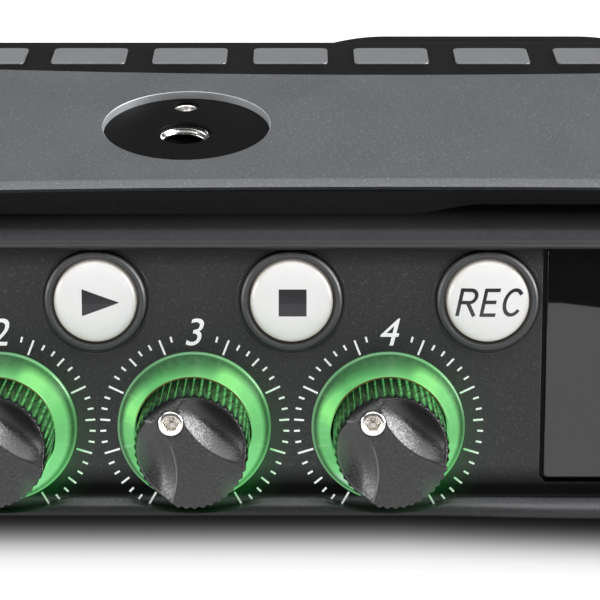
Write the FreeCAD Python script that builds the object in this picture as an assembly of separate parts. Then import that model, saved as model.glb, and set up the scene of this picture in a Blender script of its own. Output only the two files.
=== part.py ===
import FreeCAD
import Part
import math
import os

# Portable field recorder with a front panel that leans back, four channel
# knobs in light rings, three transport buttons, a small display, two
# combination input jacks on each side and a battery tray at the rear.
# Design frame: X to the right seen from the front, Y to the rear, Z up, in mm.
# Everything is shifted by ORIGIN_SHIFT at the end, so that the written frame
# has its origin at the centre of the whole box, on the plane of the feet.

V = FreeCAD.Vector
os.makedirs("parts", exist_ok=True)

# ---------------------------------------------------------------- dimensions
BODY_W = 160.0            # body width
HALF = BODY_W / 2
Z_FLOOR = 0.9             # underside of the bottom shell
Z_TOP = 36.2              # top face of the grey plate
PLATE_T = 1.2             # top plate thickness
Z_DECK = Z_TOP - PLATE_T  # top of the black deck that carries the plate
WALL = 1.4                # shell thickness
SIDE_T = 2.0              # side panel thickness
Y_REAR = 72.0             # rear wall
Z_SPLIT = 23.0            # joint between top and bottom shell on the rear wall

LEAN = 16.3               # the front panel leans back by this angle (degrees)
KNOB_Y = 5.3              # point where the knob line meets the panel plane
KNOB_Z = 11.3
PITCH = 21.5              # knob spacing
KNOB_X = [-66.0, -44.5, -23.0, -1.5]
PANEL_T = 1.6
PANEL_U0 = -9.75          # panel's lower edge, measured up the panel from the knob line
PANEL_U1 = 20.3
PANEL_X = 77.3

ROW_U = 14.32             # button row above the knob line
BUTTON_X = [-33.75, -12.25, 9.25]
TOGGLE_X = -55.25
CAP_R = 4.55              # button cap
BEZEL_R = 5.6
BUTTON_HOLE_R = 5.9
BUTTON_TRAVEL = 0.4

RING_R = 8.44             # light ring on the panel
RING_TOP_R = 6.95
RING_IN_R = 6.46
RING_H = 4.1
RING_HOLE_R = 7.25
KNOB_R = 6.15             # knob over its lobes
KNOB_N0 = 0.8             # knob base above the panel
KNOB_N1 = 11.3            # knob face above the panel
LOBES = 42
POINTER = 33.94           # the stored pointer position, anticlockwise from twelve o'clock
SHAFT_R = 3.0
SHAFT_FIT = 0.05          # running clearance of shaft bores
PUSH = 0.5                # push travel of the knobs

GLASS_X0, GLASS_X1 = 15.9, 61.9
GLASS_U0, GLASS_U1 = -5.85, 20.1

CUP_X, CUP_Y, CUP_R = -24.45, 31.5, 9.55   # round cup in the top plate
THREAD_R = 2.64           # wall radius of the 1/4-20 thread
PIN_R, PIN_BACK = 1.45, 7.1

JACK_Y = [30.0, 56.0]     # input jack axes on each side
JACK_Z = 17.9
JACK_R = 11.7
JACK_HOLE_R = 11.9

TRAY_X0, TRAY_X1 = -16.6, 41.6
CELL_R, CELL_L = 7.1, 50.2
CELL_YC = [39.9, 54.3]
CELL_ZC = [10.6, 24.9]

ORIGIN_SHIFT = V(-2.4, -35.22, 0.0)

SL, CL = math.sin(math.radians(LEAN)), math.cos(math.radians(LEAN))
parts = {}


# ------------------------------------------------------------------- helpers
def box(x0, x1, y0, y1, z0, z1):
    return Part.makeBox(x1 - x0, y1 - y0, z1 - z0, V(x0, y0, z0))


def cyl(r, p0, p1):
    a, b = V(*p0), V(*p1)
    return Part.makeCylinder(r, (b - a).Length, a, b - a)


def cone(r0, r1, p0, p1):
    a, b = V(*p0), V(*p1)
    return Part.makeCone(r0, r1, (b - a).Length, a, b - a)


def prism_yz(points, x0, x1):
    """A polygon of (y, z) points, run along X from x0 to x1."""
    w = Part.makePolygon([V(x0, y, z) for y, z in points] + [V(x0, *points[0])])
    return Part.Face(w).extrude(V(x1 - x0, 0, 0))


def prism_xy(points, z0, z1):
    w = Part.makePolygon([V(x, y, z0) for x, y in points] + [V(points[0][0], points[0][1], z0)])
    return Part.Face(w).extrude(V(0, 0, z1 - z0))


def revolve(points, axis_point=V(0, 0, 0), axis=V(0, 0, 1)):
    """A closed (r, z) outline turned about Z through axis_point."""
    pts = [V(axis_point.x + r, axis_point.y, axis_point.z + z) for r, z in points]
    f = Part.Face(Part.makePolygon(pts + [pts[0]]))
    return f.revolve(axis_point, axis, 360)


def spline_yz(points, x):
    c = Part.BSplineCurve()
    c.interpolate([V(x, y, z) for y, z in points])
    return c.toShape()


def panel_place(shape):
    """From panel axes (x, up the panel, out of the panel) to the design frame."""
    s = shape.copy()
    s.Placement = FreeCAD.Placement(V(0, KNOB_Y, KNOB_Z), FreeCAD.Rotation(V(1, 0, 0), 90 - LEAN)).multiply(s.Placement)
    return s


def fuse(*shapes):
    out = shapes[0]
    if len(shapes) > 1:
        out = out.multiFuse(list(shapes[1:]))
    return out.removeSplitter()


def cut(shape, *tools):
    for t in tools:
        shape = shape.cut(t)
    return shape


def round_edges(shape, radius, choose):
    """Fillet the edges that choose() picks, one at a time where a group fails."""
    edges = [e for e in shape.Edges if choose(e)]
    if not edges:
        return shape
    try:
        out = shape.makeFillet(radius, edges)
        if out.isValid() and out.Volume > 0.5 * shape.Volume:
            return out
    except Exception:
        pass
    return shape


def plane_y(z):
    """Y of the panel plane at height z."""
    return KNOB_Y + (z - KNOB_Z) * SL / CL


def add(name, shape):
    if isinstance(shape, (list, tuple)):
        shape = Part.makeCompound(list(shape))
    parts[name] = shape


# --------------------------------------------------------------- front frame
LIP = [(3.15, 0.9), (1.95, 1.55), (1.25, 2.2), (1.12, 2.65), (1.5, 3.1), (2.2, 3.38), (3.0, 3.48)]
SHELF = [(9.85, 31.0), (9.82, 31.2), (10.1, 31.42)]
SHELF_SLOPE = (32.5 - 31.42) / (19.4 - 10.1)


def shelf_z(y):
    return 31.42 + (y - 10.1) * SHELF_SLOPE


pf = (plane_y(11.3 + PANEL_U0 * CL) , 11.3 + PANEL_U0 * CL)           # panel foot, front face
pr = (pf[0] + PANEL_T * CL, pf[1] - PANEL_T * SL)                       # panel foot, rear face


def lip_face(x, tail):
    """Face bounded by the lip's front curve and the points in tail."""
    e = [spline_yz(LIP, x)]
    pts = [LIP[-1]] + tail + [LIP[0]]
    for a, b in zip(pts, pts[1:]):
        e.append(Part.makeLine(V(x, *a), V(x, *b)))
    return Part.Face(Part.Wire(e))


bottom_rail = lip_face(-HALF, [pf, pr, (8.5, pr[1]), (8.5, 0.9)]).extrude(V(BODY_W, 0, 0))
for kx in KNOB_X:
    # shallow scallop under each knob
    bottom_rail = bottom_rail.cut(panel_place(cyl(19.1, (kx, 9.5, 0.0), (kx, 9.5, 6.0))))
top_rail = prism_yz(SHELF + [(19.4, 32.5), (19.4, 31.0)], -PANEL_X, PANEL_X)
cheek_tail = [(1.64, 3.05), (9.82, 31.2), (10.1, 31.42), (13.9, shelf_z(13.9)), (pr[0] + 1.05, pr[1]), (8.5, pr[1]), (8.5, 0.9)]
cheek_pts = [(3.15, 0.9), (1.95, 1.55), (1.25, 2.2), (1.12, 2.65), (1.5, 3.05)] + cheek_tail[1:]
cheeks = [prism_yz(cheek_pts, s * HALF if s < 0 else PANEL_X + 0.1, -PANEL_X - 0.1 if s < 0 else HALF) for s in (-1, 1)]
joins = [prism_yz([(10.3, 31.1), (10.3, 31.4), (13.6, 31.75), (13.6, 31.1)], *r) for r in ((-PANEL_X - 0.2, -PANEL_X + 0.1), (PANEL_X - 0.1, PANEL_X + 0.2))]
frame = fuse(bottom_rail, top_rail, *cheeks, *joins)
# rounded outer uprights, in panel axes
env = Part.makeBox(2 * HALF, 80, 60, V(-HALF, -30, -58.4))
env = round_edges(env, 2.4, lambda e: abs(e.CenterOfMass.z - 1.6) < 1e-6 and abs(abs(e.CenterOfMass.x) - HALF) < 1e-6)
frame = frame.common(panel_place(env))
add("front_frame", frame)

# --------------------------------------------------------------- front panel
panel = Part.makeBox(2 * PANEL_X, PANEL_U1 - PANEL_U0, PANEL_T, V(-PANEL_X, PANEL_U0, -PANEL_T))
for kx in KNOB_X:
    panel = panel.cut(cyl(RING_HOLE_R, (kx, 0, -3), (kx, 0, 1)))
for bx in BUTTON_X:
    panel = panel.cut(cyl(BUTTON_HOLE_R, (bx, ROW_U, -3), (bx, ROW_U, 1)))
panel = panel.cut(cyl(2.75, (TOGGLE_X, ROW_U, -3), (TOGGLE_X, ROW_U, 1)))
panel = panel.cut(Part.makeBox(GLASS_X1 - GLASS_X0 + 1.1, 30, 5, V(GLASS_X0 - 0.55, GLASS_U0 - 0.55, -3)))
add("front_panel", panel_place(panel))

# ------------------------------------------------------------------- display
gx0, gx1, gu0, gu1 = GLASS_X0, GLASS_X1, GLASS_U0, GLASS_U1
glass = Part.makeBox(gx1 - gx0, gu1 - gu0, 1.1, V(gx0, gu0, -0.95))
add("display_glass", panel_place(glass))
gasket = Part.makeBox(gx1 - gx0 + 0.96, gu1 - gu0 + 0.58, 1.55, V(gx0 - 0.48, gu0 - 0.48, -1.5))
gasket = gasket.cut(Part.makeBox(gx1 - gx0 + 0.06, gu1 - gu0 + 0.06, 3, V(gx0 - 0.03, gu0 - 0.03, -0.97)))
gasket = gasket.cut(Part.makeBox(gx1 - gx0 - 3.0, gu1 - gu0 - 3.0, 5, V(gx0 + 1.5, gu0 + 1.5, -3)))
add("display_gasket", panel_place(gasket))
module = Part.makeBox(gx1 - gx0 - 3.4, gu1 - gu0 - 3.4, 4.6, V(gx0 + 1.7, gu0 + 1.7, -5.6))
module = module.fuse(Part.makeBox(gx1 - gx0 - 10, gu1 - gu0 - 8, 1.2, V(gx0 + 5, gu0 + 3, -6.8)))
add("display_module", panel_place(module.removeSplitter()))

# --------------------------------------------------- light rings and controls
rings, pots = [], []
for kx in KNOB_X:
    prof = [(RING_IN_R, -1.5), (7.15, -1.5), (7.15, 0.0), (RING_R, 0.0), (RING_R, 0.32), (8.2, 0.6), (7.88, 1.2), (7.48, 2.05), (7.1, 2.95), (6.84, 3.65), (6.68, RING_H), (RING_IN_R, 4.0)]
    rings.append(panel_place(revolve(prof, V(kx, 0, 0))))
    pot = Part.makeBox(9.5, 11.5, 5.6, V(kx - 4.75, -6.0, -7.8))
    pot = pot.fuse(cyl(4.4, (kx, 0, -2.3), (kx, 0, -0.2)))
    pot = pot.cut(cyl(SHAFT_R + SHAFT_FIT, (kx, 0, -7.0), (kx, 0, 1)))
    pots.append(panel_place(pot.removeSplitter()))
add("light_rings", rings)

# finger hollow tool: a shallow bowl whose rim crosses the face on a 9.2 mm arc
bowl_prof = [(0.0, 8.75), (5.6, 8.65), (7.1, 8.85), (8.1, 9.35), (8.8, 10.2), (9.2, KNOB_N1 + 0.02), (9.45, 13.5), (0.0, 13.5)]


def make_knob(kx):
    body = Part.makeCylinder(KNOB_R - 0.02, KNOB_N1 - KNOB_N0, V(0, 0, KNOB_N0))
    body = round_edges(body, 0.45, lambda e: abs(e.BoundBox.ZMin - KNOB_N1) < 1e-6 and abs(e.BoundBox.ZMax - KNOB_N1) < 1e-6)
    # the flutes are cut as one star-shaped ring of cylinders
    flutes = []
    for i in range(LOBES):
        a = 2 * math.pi * (i + 0.5) / LOBES
        flutes.append(cyl(0.42, ((KNOB_R + 0.24) * math.cos(a), (KNOB_R + 0.24) * math.sin(a), KNOB_N0 - 1), ((KNOB_R + 0.24) * math.cos(a), (KNOB_R + 0.24) * math.sin(a), KNOB_N1 + 1)))
    body = body.cut(Part.makeCompound(flutes))
    for s in (-1, 1):
        body = body.cut(revolve(bowl_prof, V(s * 10.4, 2.9, 0)))
    body = body.cut(cyl(SHAFT_R + SHAFT_FIT, (0, 0, 0), (0, 0, 7.6)))
    body = body.cut(cyl(1.33, (0, 3.57, 7.9), (0, 3.57, 13)))
    body.rotate(V(0, 0, 0), V(0, 0, 1), POINTER)
    body.translate(V(kx, 0, 0))
    return panel_place(body)


def hexagon(af, z0, z1, cx, cy):
    r = af / math.sqrt(3)
    pts = [(cx + r * math.cos(math.pi / 3 * i), cy + r * math.sin(math.pi / 3 * i)) for i in range(6)]
    return prism_xy(pts, z0, z1)


for i, kx in enumerate(KNOB_X, 1):
    add("knob_%d" % i, make_knob(kx))
    screw = cyl(1.3, (0, 3.57, 7.92), (0, 3.57, 11.35))
    screw = screw.cut(hexagon(1.5, 9.7, 12, 0, 3.57))
    screw.rotate(V(0, 0, 0), V(0, 0, 1), POINTER)
    screw.translate(V(kx, 0, 0))
    add("knob_screw_%d" % i, panel_place(screw))
    shaft = fuse(cyl(SHAFT_R, (kx, 0, -5.9), (kx, 0, 7.3)), cyl(1.6, (kx, 0, -6.3), (kx, 0, -5.8)))
    add("knob_shaft_%d" % i, panel_place(shaft))

# ------------------------------------------------------------------- buttons
bezels, switches = [], []
for name, bx in zip(("play_button", "stop_button", "record_button"), BUTTON_X):
    dome = [(0.0, -0.8), (CAP_R, -0.8), (CAP_R, 0.55), (4.35, 0.95), (3.95, 1.2), (3.0, 1.38), (1.6, 1.48), (0.0, 1.52)]
    cap = fuse(revolve(dome, V(bx, ROW_U, 0)), cyl(1.6, (bx, ROW_U, -3.7), (bx, ROW_U, -0.7)))
    add(name, panel_place(cap))
    ring = [(4.66, -2.2), (6.5, -2.2), (6.5, -1.66), (BEZEL_R, -1.66), (BEZEL_R, 0.5), (5.45, 0.8), (5.15, 0.95), (4.85, 0.85), (4.66, 0.6)]
    bezels.append(panel_place(revolve(ring, V(bx, ROW_U, 0))))
    sw = Part.makeBox(6, 6, 3.2, V(bx - 3, ROW_U - 3, -7.8)).fuse(cyl(1.5, (bx, ROW_U, -4.7), (bx, ROW_U, -4.2)))
    switches.append(panel_place(sw.removeSplitter()))
add("button_bezels", bezels)
add("button_switches", switches)

# -------------------------------------------------------------------- toggle
tb = Part.makeBox(8, 7.0, 5.2, V(TOGGLE_X - 4, ROW_U - 3.5, -7.8))
tb = fuse(tb, cyl(2.65, (TOGGLE_X, ROW_U, -2.7), (TOGGLE_X, ROW_U, 1.5)), hexagon(6.6, 0.05, 1.1, TOGGLE_X, ROW_U))
tb = tb.cut(cone(1.35, 2.35, (TOGGLE_X, ROW_U, -1.8), (TOGGLE_X, ROW_U, 2.0)))
tb = tb.cut(Part.makeSphere(2.05, V(TOGGLE_X, ROW_U, -2.6)))
lever = Part.makeSphere(1.75, V(TOGGLE_X, ROW_U, -2.6))
lever = fuse(lever, cone(0.8, 1.15, (TOGGLE_X, ROW_U, -2.0), (TOGGLE_X, ROW_U, 6.2)), Part.makeSphere(1.16, V(TOGGLE_X, ROW_U, 6.25)))
add("toggle_lever", panel_place(lever))

# --------------------------------------------------------------- front board
fb = Part.makeBox(85.5, 23.4, 1.4, V(-72.0, -5.5, -9.2))
fb = fb.cut(Part.makeBox(12, 20, 4, V(-78.0, 9.0, -11)))
add("front_board", panel_place(fb))

# ----------------------------------------------------------------- top plate


def plate_outline(z, grow=0.0):
    """Waisted outline: both long edges are drawn in at the middle."""
    n = 12
    front = [V(-79.2 - grow + (158.4 + 2 * grow) * i / n, 15.6 - grow - 2.6 * ((-1 + 2 * i / n) ** 2), z) for i in range(n + 1)]
    rear = [V(79.2 + grow - (158.4 + 2 * grow) * i / n, 46.5 + grow + 4.6 * ((-1 + 2 * i / n) ** 2), z) for i in range(n + 1)]
    c1, c2 = Part.BSplineCurve(), Part.BSplineCurve()
    c1.interpolate(front)
    c2.interpolate(rear)
    return Part.Face(Part.Wire([c1.toShape(), Part.makeLine(front[-1], rear[0]), c2.toShape(), Part.makeLine(rear[-1], front[0])]))


plate = plate_outline(Z_DECK).extrude(V(0, 0, PLATE_T))
plate = round_edges(plate, 1.6, lambda e: e.BoundBox.ZLength < 1e-3 and e.BoundBox.XLength < 1e-3 + 1e-3 and False)
# long chamfer along the front edge
edge = [e for e in plate.Edges if abs(e.BoundBox.ZMin - Z_TOP) < 1e-5 and e.BoundBox.XLength > 100 and e.BoundBox.YMax < 20]
try:
    plate = plate.makeChamfer(0.55, edge)
except Exception:
    pass
plate = plate.cut(cyl(CUP_R, (CUP_X, CUP_Y, 30), (CUP_X, CUP_Y, 40)))
add("top_plate", plate)

# ----------------------------------------------------------------- mount cup
cup = fuse(cyl(CUP_R - 0.05, (CUP_X, CUP_Y, 31.9), (CUP_X, CUP_Y, 35.15)), cyl(12.0, (CUP_X, CUP_Y, 31.9), (CUP_X, CUP_Y, 33.75)))
cup = cup.cut(cyl(4.6, (CUP_X, CUP_Y, 30), (CUP_X, CUP_Y, 40)))
cup = cup.cut(cyl(PIN_R, (CUP_X, CUP_Y + PIN_BACK, 32.6), (CUP_X, CUP_Y + PIN_BACK, 40)))
add("mount_cup", cup)
ins = fuse(cyl(4.58, (CUP_X, CUP_Y, 29.0), (CUP_X, CUP_Y, 35.12)), cyl(6.0, (CUP_X, CUP_Y, 29.0), (CUP_X, CUP_Y, 31.85)))
ins = ins.cut(cyl(THREAD_R, (CUP_X, CUP_Y, 20), (CUP_X, CUP_Y, 40)))
ins = ins.cut(cone(THREAD_R, 3.3, (CUP_X, CUP_Y, 34.46), (CUP_X, CUP_Y, 35.121)))
add("top_thread_insert", ins)

# ----------------------------------------------------------------- top shell
S = -(33.83 - 24.0) / (72.0 - 62.75)      # slope of the rear bevel
outer = [(17.0, Z_DECK), (46.9, Z_DECK), (46.9, 35.77), (62.75, 33.83), (Y_REAR, 24.0), (Y_REAR, Z_SPLIT)]
inner = [(Y_REAR - WALL, Z_SPLIT), (Y_REAR - WALL, 23.4), (62.05, 32.45), (50.0, 33.8), (17.0, 33.8)]
XS = HALF - SIDE_T
top = prism_yz(outer + inner, -XS, XS)


def wall_y(x):
    """The front wall steps back behind the display."""
    t = min(1.0, max(0.0, (x - 0.5) / 8.5))
    return 16.2 + 2.0 * t * t * (3 - 2 * t)


xs = [-XS, 0.5, 1.5, 2.5, 3.5, 4.5, 5.5, 6.5, 7.5, 8.5, 9.0, XS]
wall_pts = [(x, wall_y(x)) for x in xs] + [(XS, 19.4), (8.2, 19.4), (1.8, 17.6), (-XS, 17.6)]
front_wall = prism_xy(wall_pts, 31.5, Z_DECK)
below = prism_yz([(5.0, 20.0), (5.0, shelf_z(5.0) + 0.04), (25.0, shelf_z(25.0) + 0.04), (25.0, 20.0)], -90, 90)
front_wall = front_wall.cut(below)
top = fuse(top.cut(prism_xy([(-90, 10)] + [(x, wall_y(x)) for x in [-90] + xs[1:-1] + [90]] + [(90, 10)], 30, 40)), front_wall)
top = top.cut(plate_outline(Z_DECK, 0.12).extrude(V(0, 0, 3)))
top = top.cut(cyl(CUP_R + 0.05, (CUP_X, CUP_Y, 30), (CUP_X, CUP_Y, 40)))
DOOR_X0, DOOR_X1 = -18.4, 43.4
top = top.cut(box(DOOR_X0 - 0.15, DOOR_X1 + 0.15, 62.95, 80, 20, 40))
top = top.cut(box(DOOR_X0 + 1.4, DOOR_X1 - 1.4, 60.0, 80, 20, 32.45))
bosses = []
for sx in (-1, 1):
    bosses.append(box(min(sx * 72, sx * 77.9), max(sx * 72, sx * 77.9), 40.9, 45.1, 28.9, 33.9))
top = fuse(top, *bosses)
for sx in (-1, 1):
    top = top.cut(cyl(0.95, (sx * 70, 43, 31.0), (sx * 79, 43, 31.0)))
add("top_shell", top.cut(box(-90, 90, 46.9, 90, 0, 60)))
add("rear_cover", top.common(box(-90, 90, 46.9, 90, 0, 60)))

# -------------------------------------------------------------- bottom shell
bot = box(-XS, XS, 8.6, Y_REAR - WALL, Z_FLOOR, 2.5)
rear = box(-XS, XS, Y_REAR - WALL, Y_REAR, Z_FLOOR, Z_SPLIT)
bay = fuse(box(-18.2, -17.0, 31.0, 70.6, 2.5, 22.0), box(42.0, 43.2, 31.0, 70.6, 2.5, 22.0), box(-18.2, 43.2, 30.0, 31.2, 2.5, 22.0))
bots = [bot]
for sx in (-1, 1):
    bots.append(box(min(sx * 72, sx * 77.9), max(sx * 72, sx * 77.9), 40.9, 45.1, 2.4, 7.4))
    bots.append(box(min(sx * 72, sx * 77.9), max(sx * 72, sx * 77.9), 64.6, 69.4, 2.4, 5.4))
for px, py in ((-43.5, 22.0), (-21.0, 22.0), (-43.5, 52.0), (-21.0, 60.0)):
    bots.append(cyl(2.2, (px, py, 2.4), (px, py, 4.2)))
bot = fuse(*bots)
bot = bot.cut(box(DOOR_X0 - 0.15, DOOR_X1 + 0.15, 70.65, 80, -1, 40))
bot = bot.cut(box(DOOR_X0 + 1.4, DOOR_X1 - 1.4, 60.0, 80, 2.5, 40))
FEET = [(sx * 66.0, y) for sx in (-1, 1) for y in (16.5, 62.0)]
for fx, fy in FEET:
    bot = bot.cut(cyl(5.1, (fx, fy, 0), (fx, fy, 1.3)))
BASE_X, BASE_Y = 0.0, 23.0
bot = bot.cut(cyl(6.62, (BASE_X, BASE_Y, 0), (BASE_X, BASE_Y, 3)))
rear = cut(rear, box(-44.9, -31.5, 60, 80, 5.7, 12.1), box(-29.2, -19.9, 60, 80, 5.7, 9.3), box(-45.2, -19.8, 60, 80, 15.3, 18.2), box(DOOR_X0 - 0.15, DOOR_X1 + 0.15, 60, 80, -1, 40))
BOTTOM_SCREWS = [(-60.0, 40.0), (60.0, 40.0), (-8.0, 13.0), (40.0, 20.0), (-48.0, 13.0), (60.0, 66.0), (-60.0, 66.0)]
for px, py in BOTTOM_SCREWS:
    bot = cut(bot, cyl(2.25, (px, py, 0), (px, py, 1.9)), cyl(1.3, (px, py, 0), (px, py, 3)))
for sx in (-1, 1):
    bot = cut(bot, cyl(0.95, (sx * 70, 43, 4.9), (sx * 79, 43, 4.9)), cyl(0.95, (sx * 70, 67, 3.9), (sx * 79, 67, 3.9)))
add("bottom_shell", bot)
add("rear_panels", list(rear.Solids))
add("battery_bay", bay)
base_ins = fuse(cyl(6.6, (BASE_X, BASE_Y, Z_FLOOR), (BASE_X, BASE_Y, 2.45)), cyl(4.6, (BASE_X, BASE_Y, 2.4), (BASE_X, BASE_Y, 8.0)))
base_ins = base_ins.cut(cyl(THREAD_R, (BASE_X, BASE_Y, 0), (BASE_X, BASE_Y, 9)))
add("bottom_thread_insert", base_ins)
add("rubber_feet", [cyl(5.0, (fx, fy, 0.0), (fx, fy, 1.28)) for fx, fy in FEET])

# --------------------------------------------------------------- side panels
SIDE_SCREWS = [(43.0, 31.0), (43.0, 4.9), (67.0, 3.9)]
MINI = {"headphone": (1, 14.5, 21.2), "line_out": (1, 16.7, 27.7), "line_in": (-1, 16.7, 27.7)}
ENC_Y, ENC_Z = 13.0, 9.8
PWR_Y, PWR_Z0, PWR_Z1 = 14.2, 12.6, 20.8


def side(s):
    wy = wall_y(s * XS)
    rear_line = [(8.6, Z_FLOOR), (8.6, pr[1] + 0.05), (pr[0] + 1.15, pr[1] + 0.05), (14.02, shelf_z(14.0)), (wy, shelf_z(wy)), (wy, Z_DECK - 0.02),
                 (46.9, Z_DECK - 0.02), (46.9, 35.77), (62.75, 33.83), (Y_REAR, 24.0), (Y_REAR, Z_FLOOR)]
    x0, x1 = (XS + 0.02, HALF) if s > 0 else (-HALF, -XS - 0.02)
    p = prism_yz(rear_line, x0, x1)
    p = p.cut(plate_outline(Z_DECK - 0.019, 0.12).extrude(V(0, 0, 3)))
    # rounded outer edges at the rear and along the bottom
    env = box(-HALF, HALF, -20, Y_REAR, Z_FLOOR, 60)
    env = round_edges(env, 1.6, lambda e: abs(abs(e.CenterOfMass.x) - HALF) < 1e-6 and (abs(e.CenterOfMass.z - Z_FLOOR) < 1e-6 or (abs(e.CenterOfMass.y - Y_REAR) < 1e-6)))
    p = p.common(env)
    for jy in JACK_Y:
        p = p.cut(cyl(JACK_HOLE_R, (s * 60, jy, JACK_Z), (s * 90, jy, JACK_Z)))
    for ms, my, mz in MINI.values():
        if ms == s:
            p = p.cut(cyl(3.15, (s * 60, my, mz), (s * 90, my, mz)))
    if s > 0:
        p = p.cut(cyl(3.65, (60, ENC_Y, ENC_Z), (90, ENC_Y, ENC_Z)))
    else:
        p = p.cut(box(-90, -60, PWR_Y - 1.45, PWR_Y + 1.45, PWR_Z0, PWR_Z1))
    for py, pz in SIDE_SCREWS:
        p = cut(p, cyl(1.3, (s * 60, py, pz), (s * 90, py, pz)), cyl(2.25, (s * 79.2, py, pz), (s * 90, py, pz)))
    return p


add("left_side_panel", side(-1))
add("right_side_panel", side(1))

screws = []
for s in (-1, 1):
    for py, pz in SIDE_SCREWS:
        sc = fuse(cyl(2.2, (s * 79.22, py, pz), (s * 79.85, py, pz)), cyl(0.93, (s * 74.5, py, pz), (s * 79.3, py, pz)))
        tool = hexagon(1.4, 0, 1, 0, 0)
        tool.rotate(V(0, 0, 0), V(0, 1, 0), 90)
        tool.translate(V(79.35 if s > 0 else -80.35, py, pz))
        screws.append(sc.cut(tool))
for px, py in BOTTOM_SCREWS:
    sc = fuse(cyl(2.2, (px, py, 1.0), (px, py, 1.88)), cyl(1.25, (px, py, 1.8), (px, py, 3.2)))
    screws.append(sc.cut(hexagon(1.4, 0.5, 1.5, px, py)))
add("case_screws", screws)

# --------------------------------------------------------------- input jacks


def jack(s, jy):
    """Combination jack on the X axis: face at x = 80.4, body running inwards."""
    b = fuse(cyl(JACK_R, (s * 47.6, jy, JACK_Z), (s * 80.4, jy, JACK_Z)))
    b = b.cut(cyl(9.7, (s * 78.9, jy, JACK_Z), (s * 90, jy, JACK_Z)))                     # shallow mouth
    groove = cyl(9.7, (s * 66.0, jy, JACK_Z), (s * 79.0, jy, JACK_Z)).cut(cyl(7.7, (s * 65.0, jy, JACK_Z), (s * 79.5, jy, JACK_Z)))
    b = b.cut(groove)
    b = b.cut(cyl(3.2, (s * 52.0, jy, JACK_Z), (s * 90, jy, JACK_Z)))                     # 6.35 mm plug
    for a in (90, 210, 330):
        cy, cz = jy + 5.45 * math.cos(math.radians(a)), JACK_Z - 5.45 * math.sin(math.radians(a))
        b = b.cut(cyl(1.35, (s * 66.0, cy, cz), (s * 90, cy, cz)))
    # slot for the latch tab, above the mouth
    b = b.cut(box(min(s * 72.0, s * 90), max(s * 72.0, s * 90), jy - 3.1, jy + 3.1, JACK_Z + 8.9, JACK_Z + 11.0))
    return b


def tab(s, jy):
    t = box(min(s * 74.2, s * 81.3), max(s * 74.2, s * 81.3), jy - 2.9, jy + 2.9, JACK_Z + 9.25, JACK_Z + 10.65)
    return round_edges(t, 0.5, lambda e: abs(abs(e.CenterOfMass.x) - 81.3) < 1e-6)


for i, (s, jy) in enumerate(((-1, JACK_Y[0]), (-1, JACK_Y[1]), (1, JACK_Y[0]), (1, JACK_Y[1])), 1):
    add("input_jack_%d" % i, jack(s, jy))
    add("latch_tab_%d" % i, tab(s, jy))

minis = []
for s, my, mz in MINI.values():
    m = fuse(cyl(3.05, (s * 67.5, my, mz), (s * 80.3, my, mz)), box(min(s * 66.5, s * 77.2), max(s * 66.5, s * 77.2), my - 3.0, my + 3.0, mz - 3.0, mz + 3.0))
    minis.append(m.cut(cyl(1.8, (s * 68.5, my, mz), (s * 90, my, mz))))
add("minijacks", minis)

# ---------------------------------------------------------- headphone control
enc = fuse(box(71.0, 77.0, ENC_Y - 4.5, ENC_Y + 4.5, ENC_Z - 4.5, ENC_Z + 4.5), cyl(3.6, (76.5, ENC_Y, ENC_Z), (80.0, ENC_Y, ENC_Z)))
enc = enc.cut(cyl(SHAFT_R + SHAFT_FIT, (72.0, ENC_Y, ENC_Z), (82, ENC_Y, ENC_Z)))
add("potentiometers", pots + [enc])
add("encoder_shaft", fuse(cyl(SHAFT_R, (72.8, ENC_Y, ENC_Z), (85.0, ENC_Y, ENC_Z)), cyl(1.5, (72.6, ENC_Y, ENC_Z), (73.0, ENC_Y, ENC_Z))))
hk = cyl(5.3, (80.7, ENC_Y, ENC_Z), (86.1, ENC_Y, ENC_Z))
hk = round_edges(hk, 0.6, lambda e: abs(e.BoundBox.XMin - 86.1) < 1e-6)
fl = []
for i in range(24):
    a = 2 * math.pi * i / 24
    cy, cz = ENC_Y + 5.55 * math.cos(a), ENC_Z + 5.55 * math.sin(a)
    fl.append(cyl(0.5, (80.0, cy, cz), (87.0, cy, cz)))
hk = hk.cut(Part.makeCompound(fl)).cut(cyl(SHAFT_R + SHAFT_FIT, (80, ENC_Y, ENC_Z), (85.2, ENC_Y, ENC_Z)))
hk = hk.cut(cyl(3.9, (80.0, ENC_Y, ENC_Z), (81.5, ENC_Y, ENC_Z)))
add("headphone_knob", hk)

# --------------------------------------------------------------- power switch
sw = box(-77.7, -73.4, PWR_Y - 2.6, PWR_Y + 2.6, PWR_Z0 - 1.0, PWR_Z1 + 1.0)
sw = sw.cut(box(-79, -75.3, PWR_Y - 1.0, PWR_Y + 1.0, PWR_Z0 + 0.2, PWR_Z1 - 0.2))
add("switch_bodies", [panel_place(tb), sw])
sl = fuse(box(-81.0, -78.2, PWR_Y - 1.3, PWR_Y + 1.3, PWR_Z0 + 0.3, PWR_Z0 + 4.1), box(-78.3, -75.6, PWR_Y - 0.85, PWR_Y + 0.85, PWR_Z0 + 0.9, PWR_Z0 + 3.5))
for k in range(3):
    z = PWR_Z0 + 1.3 + 0.9 * k
    sl = sl.cut(box(-82, -80.7, PWR_Y - 2, PWR_Y + 2, z - 0.2, z + 0.2))
add("power_slider", sl)

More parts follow.
